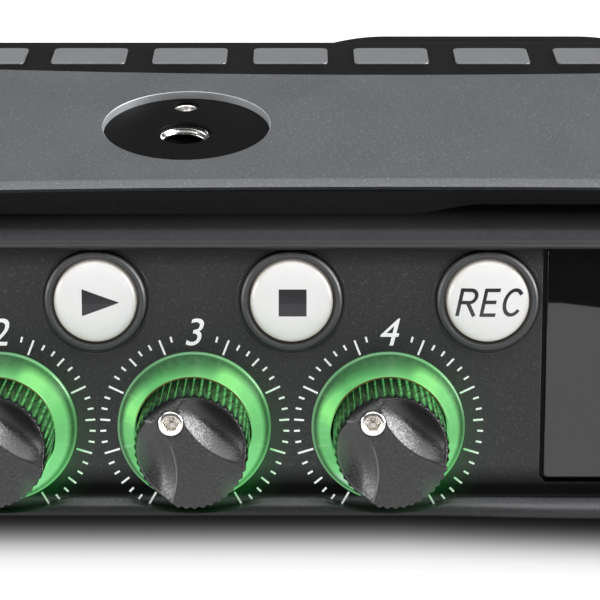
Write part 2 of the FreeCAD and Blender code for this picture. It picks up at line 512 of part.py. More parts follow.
# ---------------------------------------------------- main board and its ports
mb = box(-46.0, -18.9, 20.0, 69.5, 4.2, 5.7)
add("main_board", mb)
usb = box(-44.8, -31.6, 57.5, 72.3, 5.75, 12.0)
usb = usb.cut(box(-44.3, -32.1, 60.0, 80, 6.25, 11.5))
usb = fuse(usb, box(-43.6, -32.8, 59.5, 71.0, 9.3, 10.9))
uc = fuse(box(-27.9, -21.2, 64.0, 72.2, 5.75, 9.0), cyl(1.625, (-27.5, 64.0, 7.375), (-27.5, 72.2, 7.375)), cyl(1.625, (-21.6, 64.0, 7.375), (-21.6, 72.2, 7.375)))
uc = uc.cut(box(-27.5, -21.6, 66.0, 80, 6.15, 8.6))
uc = fuse(uc, box(-27.0, -22.1, 65.5, 71.4, 7.1, 7.65))
add("usb_ports", [usb, uc])
cs = box(-45.1, -19.9, 38.5, 71.6, 15.35, 18.15)
cs = cs.cut(box(-44.6, -20.4, 39.0, 80, 15.65, 17.85))
cs = fuse(cs, box(-45.1, -43.5, 38.5, 44.0, 5.75, 15.4), box(-21.5, -19.9, 38.5, 44.0, 5.75, 15.4))
add("card_slot", cs)
card = box(-44.5, -20.5, 39.4, 71.4, 15.7, 17.8)
card = card.cut(prism_xy([(-46, 39.0), (-46, 43.5), (-44.5, 43.5), (-40.4, 39.4), (-40.4, 39.0)], 15, 19))
add("memory_card", card)

# ------------------------------------------------------------- battery tray
tf = box(TRAY_X0, TRAY_X1, 31.5, 69.0, 2.6, 3.4)
ends = [box(TRAY_X0, TRAY_X0 + 1.2, 31.5, 62.0, 2.6, 20.5), box(TRAY_X1 - 1.2, TRAY_X1, 31.5, 62.0, 2.6, 20.5)]
back = box(TRAY_X0, TRAY_X1, 31.5, 32.6, 2.6, 20.5)
mid = box(TRAY_X0, TRAY_X1, 61.6, 63.4, 2.6, 31.2)
door = prism_yz([(63.1, 33.40), (Y_REAR, 24.0), (Y_REAR, 0.95), (Y_REAR - WALL + 0.1, 0.95), (Y_REAR - WALL + 0.1, 23.4), (63.1, 31.3)], DOOR_X0, DOOR_X1)
# glossy pod behind the door: gently crowned across, sloping down to the rear
ps = 12.3
w0, flat, R = 24.5, 12.5, 27.0
PX, PZ = 12.5, 32.5
drop = R - math.sqrt(R * R - (w0 - flat) ** 2)
da = math.asin((w0 - flat) / R) / 2
mid_dx, mid_dz = R * math.sin(da), R - R * math.cos(da)
e = [Part.makeLine(V(PX - flat, 63.7, PZ), V(PX + flat, 63.7, PZ)),
     Part.Arc(V(PX + flat, 63.7, PZ), V(PX + flat + mid_dx, 63.7, PZ - mid_dz), V(PX + w0, 63.7, PZ - drop)).toShape(),
     Part.makeLine(V(PX + w0, 63.7, PZ - drop), V(PX + w0, 63.7, -10)),
     Part.makeLine(V(PX + w0, 63.7, -10), V(PX - w0, 63.7, -10)),
     Part.makeLine(V(PX - w0, 63.7, -10), V(PX - w0, 63.7, PZ - drop)),
     Part.Arc(V(PX - w0, 63.7, PZ - drop), V(PX - flat - mid_dx, 63.7, PZ - mid_dz), V(PX - flat, 63.7, PZ)).toShape()]
pod = Part.Face(Part.Wire(e)).extrude(V(0, 20 * math.cos(math.radians(ps)), -20 * math.sin(math.radians(ps))))
rear_pts = [(64.0, 40.0), (74.0, 40.0), (74.0, 30.3), (75.4, 29.7), (76.7, 28.6), (77.4, 27.2), (77.6, 25.6), (77.6, 8.0), (77.2, 6.4), (76.2, 5.3), (74.8, 4.8), (66.5, 4.8), (64.0, 24.0)]
pod = pod.common(prism_yz(rear_pts, -40, 60))
pod = pod.cut(prism_yz([(55.0, 20.0), (63.1, 31.4), (Y_REAR - WALL + 0.1, 23.45), (Y_REAR - WALL + 0.1, 0.0), (55, 0.0)], -40, 60))
# finger slot for the latch
pod = pod.cut(box(PX - 8.2, PX + 8.2, 73.2, 79, 8.6, 13.4))
tray = fuse(tf, *ends, back, mid, door, pod, box(TRAY_X0 + 1, TRAY_X1 - 1, 68.0, 71.0, 2.6, 6.0))
add("battery_tray", tray)
latch = fuse(box(PX - 7.9, PX + 7.9, 73.5, 76.3, 8.9, 11.4), box(PX - 4, PX + 4, 76.2, 77.2, 9.4, 10.9))
add("battery_latch", latch)
cells = []
for cy in CELL_YC:
    for cz in CELL_ZC:
        x0 = 12.5 - CELL_L / 2
        c = fuse(cyl(CELL_R, (x0, cy, cz), (x0 + CELL_L - 1.2, cy, cz)), cyl(2.7, (x0 + CELL_L - 1.3, cy, cz), (x0 + CELL_L, cy, cz)))
        cells.append(c)
add("battery_cells", cells)
cont = []
for cy in CELL_YC:
    for cz in CELL_ZC:
        x0 = 12.5 - CELL_L / 2
        cont.append(cone(4.6, 3.0, (TRAY_X0 + 1.25, cy, min(cz, 15.8)), (x0 - 0.05, cy, min(cz, 15.8))))
        cont.append(box(12.5 + CELL_L / 2 + 0.05, TRAY_X1 - 1.25, cy - 4, cy + 4, min(cz, 15.4) - 4, min(cz, 15.4) + 4))
uniq, seen = [], set()
for c in cont:
    k = (round(c.CenterOfMass.x, 1), round(c.CenterOfMass.y, 1), round(c.CenterOfMass.z, 1))
    if k not in seen:
        seen.add(k)
        uniq.append(c)
add("battery_contacts", uniq)

# ------------------------------------------------------------------- writing
lo, hi = [1e9] * 3, [-1e9] * 3
for name, shape in parts.items():
    s = shape.copy()
    s.translate(ORIGIN_SHIFT)
    parts[name] = s
    b = s.BoundBox
    for k, (a, c) in enumerate(((b.XMin, b.XMax), (b.YMin, b.YMax), (b.ZMin, b.ZMax))):
        lo[k], hi[k] = min(lo[k], a), max(hi[k], c)
    ok = s.isValid() and all(q.isClosed() for q in s.Shells)
    print("%-22s solids %d vol %.1f %s" % (name, len(s.Solids), s.Volume, "" if ok else "NOT VALID"))
    s.exportStep("parts/%s.step" % name)
print("nodes", len(parts), "box", [round(v, 3) for v in lo], [round(v, 3) for v in hi], "centre", [round((a + c) / 2, 3) for a, c in zip(lo, hi)])
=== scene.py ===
import bpy
import math
import numpy as np
from mathutils import Matrix, Vector


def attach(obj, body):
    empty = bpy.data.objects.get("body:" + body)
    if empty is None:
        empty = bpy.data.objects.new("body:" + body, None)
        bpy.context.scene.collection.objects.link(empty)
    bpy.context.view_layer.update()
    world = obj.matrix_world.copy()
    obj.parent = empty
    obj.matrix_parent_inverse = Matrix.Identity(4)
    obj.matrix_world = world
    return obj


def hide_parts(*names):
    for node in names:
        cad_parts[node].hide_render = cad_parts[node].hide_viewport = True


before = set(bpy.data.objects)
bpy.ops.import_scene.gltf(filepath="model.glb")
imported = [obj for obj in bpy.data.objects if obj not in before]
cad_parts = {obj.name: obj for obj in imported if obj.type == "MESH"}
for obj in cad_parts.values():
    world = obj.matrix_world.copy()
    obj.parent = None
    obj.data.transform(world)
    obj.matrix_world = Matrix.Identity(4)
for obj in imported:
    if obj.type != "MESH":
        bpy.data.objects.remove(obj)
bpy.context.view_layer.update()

# Design frame in mm: X right, Y rear, Z up, as in the CAD source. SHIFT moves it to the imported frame.
SHIFT = (-2.4, -35.22, 0.0)
LEAN = math.radians(16.3)
SL, CL = math.sin(LEAN), math.cos(LEAN)
KNOB_X = [-66.0, -44.5, -23.0, -1.5]
BUTTON_X = [-33.75, -12.25, 9.25]
TOGGLE_X, ROW_U = -55.25, 14.32
POINTER = math.radians(33.94)
SCREW_X, SCREW_U = 0.08, 3.8      # set screw, from the knob axis towards the pointer tip
HALF = 80.0
PI = math.pi

M_DESIGN = Matrix.Scale(0.001, 4) @ Matrix.Translation(SHIFT)
M_PANEL = M_DESIGN @ Matrix.Translation((0, 5.3, 11.3)) @ Matrix.Rotation(PI / 2 - LEAN, 4, "X")


def at_panel(x, u, n=0.0, turn=0.0):
    return M_PANEL @ Matrix.Translation((x, u, n)) @ Matrix.Rotation(turn, 4, "Z")


def at_side(s, x, y, z, turn=0.0):
    """Local z points out of the side, local y points up."""
    if s > 0:
        basis = Matrix(((0, 0, 1, 0), (1, 0, 0, 0), (0, 1, 0, 0), (0, 0, 0, 1)))
    else:
        basis = Matrix(((0, 0, -1, 0), (-1, 0, 0, 0), (0, 1, 0, 0), (0, 0, 0, 1)))
    return M_DESIGN @ Matrix.Translation((x, y, z)) @ basis @ Matrix.Rotation(turn, 4, "Z")


def at_rear(x, y, z):
    """Local z points to the rear, local y points up."""
    basis = Matrix(((-1, 0, 0, 0), (0, 0, 1, 0), (0, 1, 0, 0), (0, 0, 0, 1)))
    return M_DESIGN @ Matrix.Translation((x, y, z)) @ basis


def at_down(x, y, z):
    return M_DESIGN @ Matrix.Translation((x, y, z)) @ Matrix.Rotation(PI, 4, "X")


def at_up(x, y, z):
    return M_DESIGN @ Matrix.Translation((x, y, z))


def wall_y(x):
    t = min(1.0, max(0.0, (x - 0.5) / 8.5))
    return 16.2 + 2.0 * t * t * (3 - 2 * t)


def shelf_z(y):
    return 31.42 + (y - 10.1) * (32.5 - 31.42) / (19.4 - 10.1)


# ------------------------------------------------------------------ materials
def lin(r, g, b):
    """Display colour (0 to 255) to the linear value a shader takes."""
    out = []
    for c in (r, g, b):
        c /= 255.0
        out.append(c / 12.92 if c <= 0.04045 else ((c + 0.055) / 1.055) ** 2.4)
    return tuple(out)


class Nodes:
    def __init__(self, name):
        self.mat = bpy.data.materials.new(name)
        self.mat.use_nodes = True
        self.t = self.mat.node_tree
        self.n, self.l = self.t.nodes, self.t.links
        self.n.clear()
        self.out = self.n.new("ShaderNodeOutputMaterial")
        self.p = self.n.new("ShaderNodeBsdfPrincipled")
        self.l.new(self.p.outputs[0], self.out.inputs[0])
        self.co = self.n.new("ShaderNodeTexCoord").outputs["Object"]

    def set(self, key, value):
        s = self.p.inputs[key]
        if hasattr(value, "links") or isinstance(value, bpy.types.NodeSocket):
            self.l.new(value, s)
        elif isinstance(value, tuple) and len(value) == 3 and s.type == "RGBA":
            s.default_value = (*value, 1.0)
        else:
            s.default_value = value

    def noise(self, size, detail=3.0, rough=0.5, stretch=None, distortion=0.0, kind="noise"):
        co = self.co
        if stretch:
            m = self.n.new("ShaderNodeMapping")
            m.inputs["Scale"].default_value = stretch
            self.l.new(co, m.inputs[0])
            co = m.outputs[0]
        if kind == "noise":
            t = self.n.new("ShaderNodeTexNoise")
            t.inputs["Detail"].default_value = detail
            t.inputs["Roughness"].default_value = rough
            t.inputs["Distortion"].default_value = distortion
            out = t.outputs["Fac"]
        else:
            t = self.n.new("ShaderNodeTexVoronoi")
            t.feature = kind
            out = t.outputs["Distance"] if kind != "F1c" else t.outputs["Color"]
        t.inputs["Scale"].default_value = 1.0 / size
        self.l.new(co, t.inputs["Vector"])
        return out

    def math(self, op, a, b=None, c=None, clamp=False):
        m = self.n.new("ShaderNodeMath")
        m.operation = op
        m.use_clamp = clamp
        for i, v in enumerate((a, b, c)):
            if v is None:
                continue
            if isinstance(v, bpy.types.NodeSocket):
                self.l.new(v, m.inputs[i])
            else:
                m.inputs[i].default_value = v
        return m.outputs[0]

    def ramp(self, fac, stops, mode="LINEAR"):
        r = self.n.new("ShaderNodeValToRGB")
        r.color_ramp.interpolation = mode
        e = r.color_ramp.elements
        while len(e) < len(stops):
            e.new(0.5)
        for k, (pos, col) in zip(e, stops):
            k.position = pos
        for k, (pos, col) in zip(e, stops):
            k.color = (*col, 1.0)
        self.l.new(fac, r.inputs[0])
        return r.outputs[0]

    def mix(self, fac, a, b, kind="MIX"):
        m = self.n.new("ShaderNodeMix")
        m.data_type = "RGBA"
        m.blend_type = kind
        for s, v in ((m.inputs[0], fac), (m.inputs[6], a), (m.inputs[7], b)):
            if isinstance(v, bpy.types.NodeSocket):
                self.l.new(v, s)
            elif isinstance(v, tuple):
                s.default_value = (*v, 1.0)
            else:
                s.default_value = v
        return m.outputs[2]

    def remap(self, fac, a, b, lo=0.3, hi=0.7):
        m = self.n.new("ShaderNodeMapRange")
        for i, v in zip((1, 2, 3, 4), (lo, hi, a, b)):
            m.inputs[i].default_value = v
        self.l.new(fac, m.inputs[0])
        return m.outputs[0]

    def bump(self, layers):
        """layers: (height socket, height in metres)"""
        prev = None
        for h, d in layers:
            b = self.n.new("ShaderNodeBump")
            b.inputs["Strength"].default_value = 1.0
            b.inputs["Distance"].default_value = d
            self.l.new(h, b.inputs["Height"])
            if prev is not None:
                self.l.new(prev, b.inputs["Normal"])
            prev = b.outputs[0]
        self.l.new(prev, self.p.inputs["Normal"])


MATS = {}


def pmat(name, col, rough, metal=0.0, grain=0.2e-3, height=4e-6, cvar=0.12, rvar=0.08, coarse=None, coarse_h=0.0, kind="noise", stretch=None, patch=0.05, fleck=None, painted_fill_glow=None, **extra):
    """A moulded, painted or machined surface: fine grain, slow colour drift and roughness drift."""
    k = Nodes(name)
    fine = k.noise(grain, 3.0, 0.6, stretch)
    slow = k.noise(9e-3, 4.0, 0.6)
    dark = tuple(c * (1 - cvar) for c in col)
    light = tuple(min(1.0, c * (1 + cvar)) for c in col)
    c = k.mix(k.remap(fine, 0.0, 1.0), dark, light)
    c = k.mix(k.remap(slow, 0.0, patch * 2, 0.35, 0.75), c, tuple(min(1.0, v * 1.5 + 0.01) for v in col))
    if fleck:
        size, gain, lo, hi = fleck
        c = k.mix(k.remap(k.noise(size, 1.5, 0.5), 0.0, 1.0, lo, hi), c, tuple(min(1.0, v * gain) for v in col))
    k.set("Base Color", c)
    k.set("Metallic", metal)
    # painted light: a faint glow near the front (full below design y 20 mm, gone past 30 mm) lifts the shade under the
    # top plate's overhang
    if painted_fill_glow:
        q = k.n.new("ShaderNodeSeparateXYZ")
        k.l.new(k.co, q.inputs[0])
        wy = k.math("MULTIPLY_ADD", q.outputs[1], 1000.0, -SHIFT[1])
        k.set("Emission Color", k.mix(k.remap(wy, 1.0, 0.0, 20.0, 30.0), (0.0, 0.0, 0.0), k.mix(fine, (painted_fill_glow * 0.4,) * 3, (painted_fill_glow * 1.6,) * 3)))
        k.set("Emission Strength", 1.0)
    r = k.math("ADD", k.remap(fine, rough - rvar, rough + rvar), k.remap(slow, -0.03, 0.03), clamp=True)
    k.set("Roughness", r)
    layers = [(fine, height)]
    if coarse:
        layers.insert(0, (k.noise(coarse, 2.0, 0.5, kind=kind), coarse_h))
    k.bump(layers)
    for key, v in extra.items():
        k.set(key.replace("_", " "), v)
    MATS[name] = k.mat
    return k.mat


m_plate = pmat("plate_paint", (0.083, 0.088, 0.0935), 0.5, 0.3, grain=0.2e-3, height=6e-6, cvar=0.3, rvar=0.1, coarse=0.5e-3, coarse_h=4e-6, fleck=(0.26e-3, 2.0, 0.6, 0.72))
m_edge = pmat("plate_edge", (0.16, 0.168, 0.176), 0.42, 0.45, grain=0.2e-3, height=4e-6, cvar=0.25)
m_bare = pmat("cup_rim_bare", (0.56, 0.58, 0.6), 0.5, 0.2, grain=0.2e-3, height=3e-6, cvar=0.12)
# the shell's faint glow near the front is painted light that lifts the shade under the top plate
m_shell = pmat("shell_paint", (0.0034, 0.0034, 0.0038), 0.6, 0.0, grain=0.18e-3, height=9e-6, cvar=0.45, coarse=0.42e-3, coarse_h=1.1e-5, fleck=(0.3e-3, 4.5, 0.64, 0.76), painted_fill_glow=0.007, Specular_IOR_Level=0.08)
m_frame = pmat("frame_satin", (0.0165, 0.0165, 0.0185), 0.46, 0.0, grain=0.2e-3, height=6e-6, cvar=0.4, coarse=0.6e-3, coarse_h=4e-6, fleck=(0.3e-3, 2.0, 0.6, 0.75), Specular_IOR_Level=0.5)
m_steel = pmat("screw_steel", (0.8, 0.77, 0.73), 0.26, 1.0, grain=0.1e-3, height=3e-6, cvar=0.08)
m_chrome = pmat("lever_chrome", (0.7, 0.7, 0.71), 0.12, 1.0, grain=0.3e-3, height=1e-6, cvar=0.04)
m_insert = pmat("insert_steel", (0.62, 0.61, 0.6), 0.2, 1.0, grain=0.1e-3, height=3e-6, cvar=0.1)
m_cup = pmat("cup_black", (0.0032, 0.0032, 0.0036), 0.6, 0.0, grain=0.16e-3, height=4e-6, cvar=0.4, fleck=(0.24e-3, 3.5, 0.64, 0.76), Specular_IOR_Level=0.05)
# near-black material for the thread's lower turns: painted shade
m_thread_shade = pmat("thread_painted_shade", (0.002, 0.002, 0.002), 0.7, 0.0, grain=0.2e-3, height=2e-6, cvar=0.3, Specular_IOR_Level=0.05)
m_jack = pmat("jack_plastic", (0.012, 0.012, 0.013), 0.34, 0.0, grain=0.12e-3, height=3e-6, cvar=0.25)
m_tab = pmat("tab_steel", (0.45, 0.45, 0.46), 0.35, 1.0, grain=0.5e-3, height=2e-6, cvar=0.1, stretch=(1, 1, 12))
m_gold = pmat("contact_gold", (0.75, 0.52, 0.2), 0.25, 1.0, grain=0.2e-3, height=1e-6, cvar=0.05)
m_nickel = pmat("socket_nickel", (0.55, 0.54, 0.52), 0.3, 1.0, grain=0.6e-3, height=1.5e-6, cvar=0.08, stretch=(1, 10, 1))
m_rubber = pmat("rubber", (0.018, 0.018, 0.018), 0.8, 0.0, grain=0.15e-3, height=1.2e-5, cvar=0.25)
m_door = pmat("door_gloss", (0.014, 0.014, 0.015), 0.3, 0.0, grain=0.4e-3, height=6e-7, cvar=0.15, rvar=0.03, Specular_IOR_Level=0.0)
m_latch = pmat("latch_grey", (0.1, 0.1, 0.105), 0.5, 0.0, grain=0.15e-3, height=4e-6)
m_cell = pmat("cell_foil", (0.035, 0.045, 0.07), 0.3, 0.7, grain=0.5e-3, height=1e-6, cvar=0.2)
m_card = pmat("card_plastic", (0.02, 0.03, 0.07), 0.45, 0.0, grain=0.15e-3, height=3e-6)
m_board = pmat("board_mask", (0.01, 0.07, 0.03), 0.35, 0.0, grain=0.3e-3, height=3e-6, cvar=0.3)
m_white = pmat("print_white", (0.82, 0.82, 0.82), 0.5, 0.0, grain=0.1e-3, height=2e-6, cvar=0.05)
m_grey_pad = pmat("pad_grey", (0.17, 0.174, 0.18), 0.36, 0.15, grain=0.15e-3, height=4e-6, cvar=0.2)
m_module = pmat("module_black", (0.01, 0.01, 0.011), 0.4, 0.0, grain=0.2e-3, height=2e-6)
m_symbol = None        # set once the panel axes are known


def clock(k, local=False):
    """Distance (mm) and clock angle (0 at the top, 1/2 turn below) about the nearest knob axis, and height out of the panel."""
    if local:
        q = k.n.new("ShaderNodeSeparateXYZ")
        k.l.new(k.co, q.inputs[0])
        dx, du, dn = (k.math("MULTIPLY", q.outputs[i], 1000.0) for i in range(3))
    else:
        q = k.n.new("ShaderNodeSeparateXYZ")
        k.l.new(k.co, q.inputs[0])
        wx = k.math("MULTIPLY_ADD", q.outputs[0], 1000.0, 66.0 - SHIFT[0])
        wy = k.math("MULTIPLY_ADD", q.outputs[1], 1000.0, -5.3 - SHIFT[1])
        wz = k.math("MULTIPLY_ADD", q.outputs[2], 1000.0, -11.3)
        du = k.math("ADD", k.math("MULTIPLY", wy, SL), k.math("MULTIPLY", wz, CL))
        dn = k.math("SUBTRACT", k.math("MULTIPLY", wz, SL), k.math("MULTIPLY", wy, CL))
        step_ = k.math("MINIMUM", k.math("MAXIMUM", k.math("ROUND", k.math("DIVIDE", wx, 21.5)), 0.0), 3.0)
        dx = k.math("SUBTRACT", wx, k.math("MULTIPLY", step_, 21.5))
    r_ = k.math("SQRT", k.math("ADD", k.math("MULTIPLY", dx, dx), k.math("MULTIPLY", du, du)))
    a_ = k.math("ADD", k.math("MULTIPLY", k.math("ARCTAN2", dx, du), 1 / (2 * PI)), 0.5)
    return r_, a_, dn


deg = lambda a: (a + 180.0) / 360.0


def grey(v):
    return (v, v, v)


def panel_axes(k):
    """Height up the panel and distance out of it, in mm, from the knob axes' origin."""
    q = k.n.new("ShaderNodeSeparateXYZ")
    k.l.new(k.co, q.inputs[0])
    wy = k.math("MULTIPLY_ADD", q.outputs[1], 1000.0, -5.3 - SHIFT[1])
    wz = k.math("MULTIPLY_ADD", q.outputs[2], 1000.0, -11.3)
    return k.math("ADD", k.math("MULTIPLY", wy, SL), k.math("MULTIPLY", wz, CL)), k.math("SUBTRACT", k.math("MULTIPLY", wz, SL), k.math("MULTIPLY", wy, CL))


k = Nodes("symbol_grey")
u_, n_ = panel_axes(k)
# painted shade: the symbol print is darker on the upper half of the cap than on the lower half
ink_and_shade = k.mix(k.remap(u_, 0.0, 1.0, 14.15, 14.3), (0.038, 0.038, 0.044), (0.02, 0.02, 0.024))
k.set("Base Color", k.mix(k.math("MULTIPLY", k.remap(k.noise(0.4e-3, 3), 0.0, 1.0), 0.1), ink_and_shade, (0.03, 0.03, 0.034)))
k.set("Roughness", k.remap(k.noise(1e-3, 3), 0.28, 0.34))
m_symbol = k.mat


def glow(k, local=False):
    """Green light that spills on what lies near a ring, strongest at its lower right."""
    r_, a_, dn = clock(k, local)
    lobe = k.ramp(a_, [(0.0, grey(0.05)), (deg(-150), grey(0.0)), (deg(-60), grey(0.0)), (deg(30), grey(0.0)), (deg(70), grey(0.4)), (deg(95), grey(0.6)), (deg(130), grey(1.0)), (deg(155), grey(0.6)), (1.0, grey(0.05))], "EASE")
    fall = k.ramp(k.math("MULTIPLY_ADD", r_, 1 / 6.0, -8.3 / 6.0, clamp=True), [(0.0, grey(1.0)), (0.1, grey(0.75)), (0.25, grey(0.36)), (0.45, grey(0.1)), (0.7, grey(0.0))], "EASE")
    near = k.remap(dn, 0.0, 1.0, -3.5, -0.5)
    return k.math("MULTIPLY", k.math("MULTIPLY", lobe, fall), near)


def add_glow(mat, tint, strength, name=None):
    """Copies a material and paints light and shade on it: the ring's green light with painted shade around each ring,
    painted shade at the panel's foot, at its top under the shelf, on the wall under the top plate and on the shelf's
    front edge, and painted highlight and shade bands along the lip and the ledge.
    """
    k = Nodes.__new__(Nodes)
    k.mat = mat.copy()
    k.mat.name = name or mat.name + "_lit"
    k.t = k.mat.node_tree
    k.n, k.l = k.t.nodes, k.t.links
    k.p = next(q for q in k.n if q.type == "BSDF_PRINCIPLED")
    k.co = next(q for q in k.n if q.type == "TEX_COORD").outputs["Object"]
    g_ = glow(k)
    link = k.p.inputs["Base Color"].links[0]
    u_, n_ = panel_axes(k)
    # painted shade: darker and less glossy at the panel's foot beside the lip, at its top under the shelf, on the wall
    # under the top plate and along the shelf's front edge
    painted_shade = k.math("MULTIPLY", k.remap(u_, 1.0, 0.0, -6.8, -4.4), k.remap(n_, 1.0, 0.0, 0.12, 0.42))
    painted_shade = k.math("MULTIPLY", painted_shade, k.remap(u_, 0.25, 1.0, -8.4, -7.7))
    painted_shade = k.math("MAXIMUM", k.math("MULTIPLY", painted_shade, 0.96), k.math("MULTIPLY", k.math("MULTIPLY", k.remap(u_, 0.0, 1.0, 18.0, 20.2), k.remap(n_, 1.0, 0.0, 0.2, 0.6)), 0.6))
    wall_shade = k.math("MULTIPLY", k.remap(u_, 0.0, 1.0, 21.6, 22.2), k.remap(n_, 1.0, 0.0, -3.6, -2.5))
    painted_shade = k.math("MAXIMUM", painted_shade, k.math("MULTIPLY", wall_shade, 0.12))
    level = k.p.inputs["Specular IOR Level"].default_value
    k.set("Specular IOR Level", k.math("MULTIPLY_ADD", painted_shade, -level, level))
    q = k.n.new("ShaderNodeSeparateXYZ")
    k.l.new(k.co, q.inputs[0])
    wx = k.math("MULTIPLY_ADD", q.outputs[0], 1000.0, -SHIFT[0])
    wy = k.math("MULTIPLY_ADD", q.outputs[1], 1000.0, -SHIFT[1])
    wz = k.math("MULTIPLY", q.outputs[2], 1000.0)
    up_ = k.math("ADD", k.math("MULTIPLY", wz, 0.8821), k.math("MULTIPLY", wy, 0.4710))
    # painted highlight and shade: brightness bands up the lip, different at its left and right ends, and a ramp across
    # the ledge that is brightest in its middle and darker towards the wall
    pos = k.math("MULTIPLY_ADD", up_, 0.4, -0.9, clamp=True)
    spot = lambda v_: (v_ - 2.25) * 0.4
    lip_light_left = k.ramp(pos, [(spot(2.3), grey(0.1)), (spot(2.94), grey(0.06)), (spot(3.38), grey(0.15)), (spot(3.83), grey(0.2)), (spot(4.27), grey(0.58)), (spot(4.5), grey(0.5)), (spot(4.65), grey(0.15))], "EASE")
    lip_light_right = k.ramp(pos, [(spot(2.3), grey(0.1)), (spot(2.6), grey(0.17)), (spot(2.94), grey(0.25)), (spot(3.38), grey(0.26)), (spot(3.83), grey(0.38)), (spot(4.27), grey(0.27)), (spot(4.5), grey(0.08)), (spot(4.65), grey(0.05))], "EASE")
    lip_light = k.mix(k.remap(wx, 0.0, 1.0, -2.0, 20.0), lip_light_left, lip_light_right)
    on_lip = k.math("MULTIPLY", k.remap(wy, 1.0, 0.0, 3.2, 3.5), k.remap(wz, 1.0, 0.0, 3.7, 3.9))
    on_ledge = k.math("MULTIPLY", k.remap(n_, 0.0, 1.0, -2.5, -1.6), k.remap(wz, 0.0, 1.0, 30.6, 31.0))
    ledge_light = k.ramp(k.math("MULTIPLY_ADD", wy, 0.2, -1.9, clamp=True), [(0.0, grey(0.06)), (0.2, grey(0.1)), (0.34, grey(0.25)), (0.68, grey(0.3)), (0.8, grey(0.12)), (1.0, grey(0.06))], "EASE")
    gain = k.mix(on_lip, k.mix(on_ledge, grey(0.1), ledge_light), lip_light)
    brow_shade = k.math("MULTIPLY", k.remap(wy, 0.45, 0.0, 10.5, 11.3), k.remap(wz, 0.0, 1.0, 30.6, 31.0))
    painted_shade = k.math("MAXIMUM", painted_shade, brow_shade)
    k.set("Specular IOR Level", k.math("MULTIPLY_ADD", painted_shade, -level, level))
    body_ = k.mix(1.0, link.from_socket, gain, "MULTIPLY")
    body_ = k.mix(1.0, body_, grey(10.0), "MULTIPLY")
    src = k.mix(painted_shade, body_, (0.005, 0.005, 0.0054))
    # painted shade and painted green light around each ring: the colour darkens and the surface glows green
    k.set("Base Color", k.mix(k.math("MULTIPLY", g_, 0.8), src, (0.001, 0.002, 0.001)))
    k.set("Emission Color", k.mix(g_, (0.0, 0.0, 0.0), tint))
    k.set("Emission Strength", strength)
    return k.mat


# panel: leathery powder coat, small round pits over a fine grain
m_panel = pmat("panel_leathergrain", (0.0195, 0.0195, 0.0217), 0.46, 0.0, grain=0.2e-3, height=9e-6, cvar=0.42, coarse=0.38e-3, coarse_h=1.6e-5, kind="SMOOTH_F1", fleck=(0.25e-3, 2.9, 0.58, 0.72))
# panel and frame copies that carry painted light and painted shade
m_panel = add_glow(m_panel, lin(10, 62, 20), 1.0, "panel_leathergrain_lit")
m_frame = add_glow(m_frame, lin(8, 46, 15), 1.0, "frame_satin_lit")

# tick marks: white print, tinted where the ring's light falls; tint and print also glow a little as painted light
k = Nodes("tick_print")
gl = k.math("MULTIPLY", glow(k), 1.6, clamp=True)
fine = k.noise(0.1e-3, 3.0, 0.6)
tick_col = k.mix(gl, k.mix(k.remap(fine, 0.0, 1.0), (0.78, 0.78, 0.78), (0.88, 0.88, 0.88)), (0.13, 0.6, 0.18))
k.set("Base Color", tick_col)
k.set("Emission Color", tick_col)
k.set("Emission Strength", 0.42)
k.set("Roughness", k.remap(fine, 0.42, 0.56))
k.bump([(fine, 2e-6)])
m_tick = k.mat
# the digits' white print glows a little: painted light
m_digit = pmat("digit_print", (0.84, 0.84, 0.84), 0.5, 0.0, grain=0.1e-3, height=2e-6, cvar=0.04, Emission_Color=(0.84, 0.84, 0.84), Emission_Strength=0.42)

# knob: matte speckled face and hollows, dark glossy fluted side. Painted light: the ring's green light near the ring
# and green glints on the flutes are emission, and the left hollow's wall and edge get painted highlights. Painted
# shade: the right hollow's outer part and the rim band are darker and less glossy.
k = Nodes("knob_matte")
r_, a_, dn = clock(k, True)
fine = k.noise(0.2e-3, 2.0, 0.6)
mid = k.noise(0.3e-3, 2.0, 0.5)
slow = k.noise(6e-3, 3.0, 0.5)
geo = k.n.new("ShaderNodeNewGeometry")
vt = k.n.new("ShaderNodeVectorTransform")
vt.vector_type, vt.convert_from, vt.convert_to = "NORMAL", "WORLD", "OBJECT"
k.l.new(geo.outputs["Normal"], vt.inputs[0])
nz = k.n.new("ShaderNodeSeparateXYZ")
k.l.new(vt.outputs[0], nz.inputs[0])
lean_ = nz.outputs[2]
side_ = k.math("MULTIPLY", k.remap(r_, 0.0, 1.0, 5.3, 5.5), k.remap(lean_, 1.0, 0.0, 0.25, 0.5))
# rim band mask for painted shade: darker and less glossy
rim_shade = k.math("MULTIPLY", k.remap(r_, 0.0, 1.0, 5.3, 5.6), k.remap(lean_, 1.0, 0.0, 0.62, 0.82))
base = k.mix(k.remap(fine, 0.0, 1.0), (0.026, 0.026, 0.0275), (0.05, 0.05, 0.052))
base = k.mix(k.remap(mid, 0.0, 1.0, 0.6, 0.72), base, (0.085, 0.085, 0.087))
base = k.mix(k.math("MULTIPLY", k.remap(slow, 0.0, 1.0), 0.2), base, (0.036, 0.036, 0.037))
q = k.n.new("ShaderNodeSeparateXYZ")
k.l.new(k.co, q.inputs[0])
kx_, ky_, kz_ = (k.math("MULTIPLY", q.outputs[i], 1000.0) for i in range(3))
d_right = k.math("SQRT", k.math("ADD", k.math("POWER", k.math("SUBTRACT", kx_, 10.5), 2.0), k.math("POWER", k.math("SUBTRACT", ky_, 2.4), 2.0)))
d_left = k.math("SQRT", k.math("ADD", k.math("POWER", k.math("ADD", kx_, 9.17), 2.0), k.math("POWER", k.math("SUBTRACT", ky_, 3.3), 2.0)))
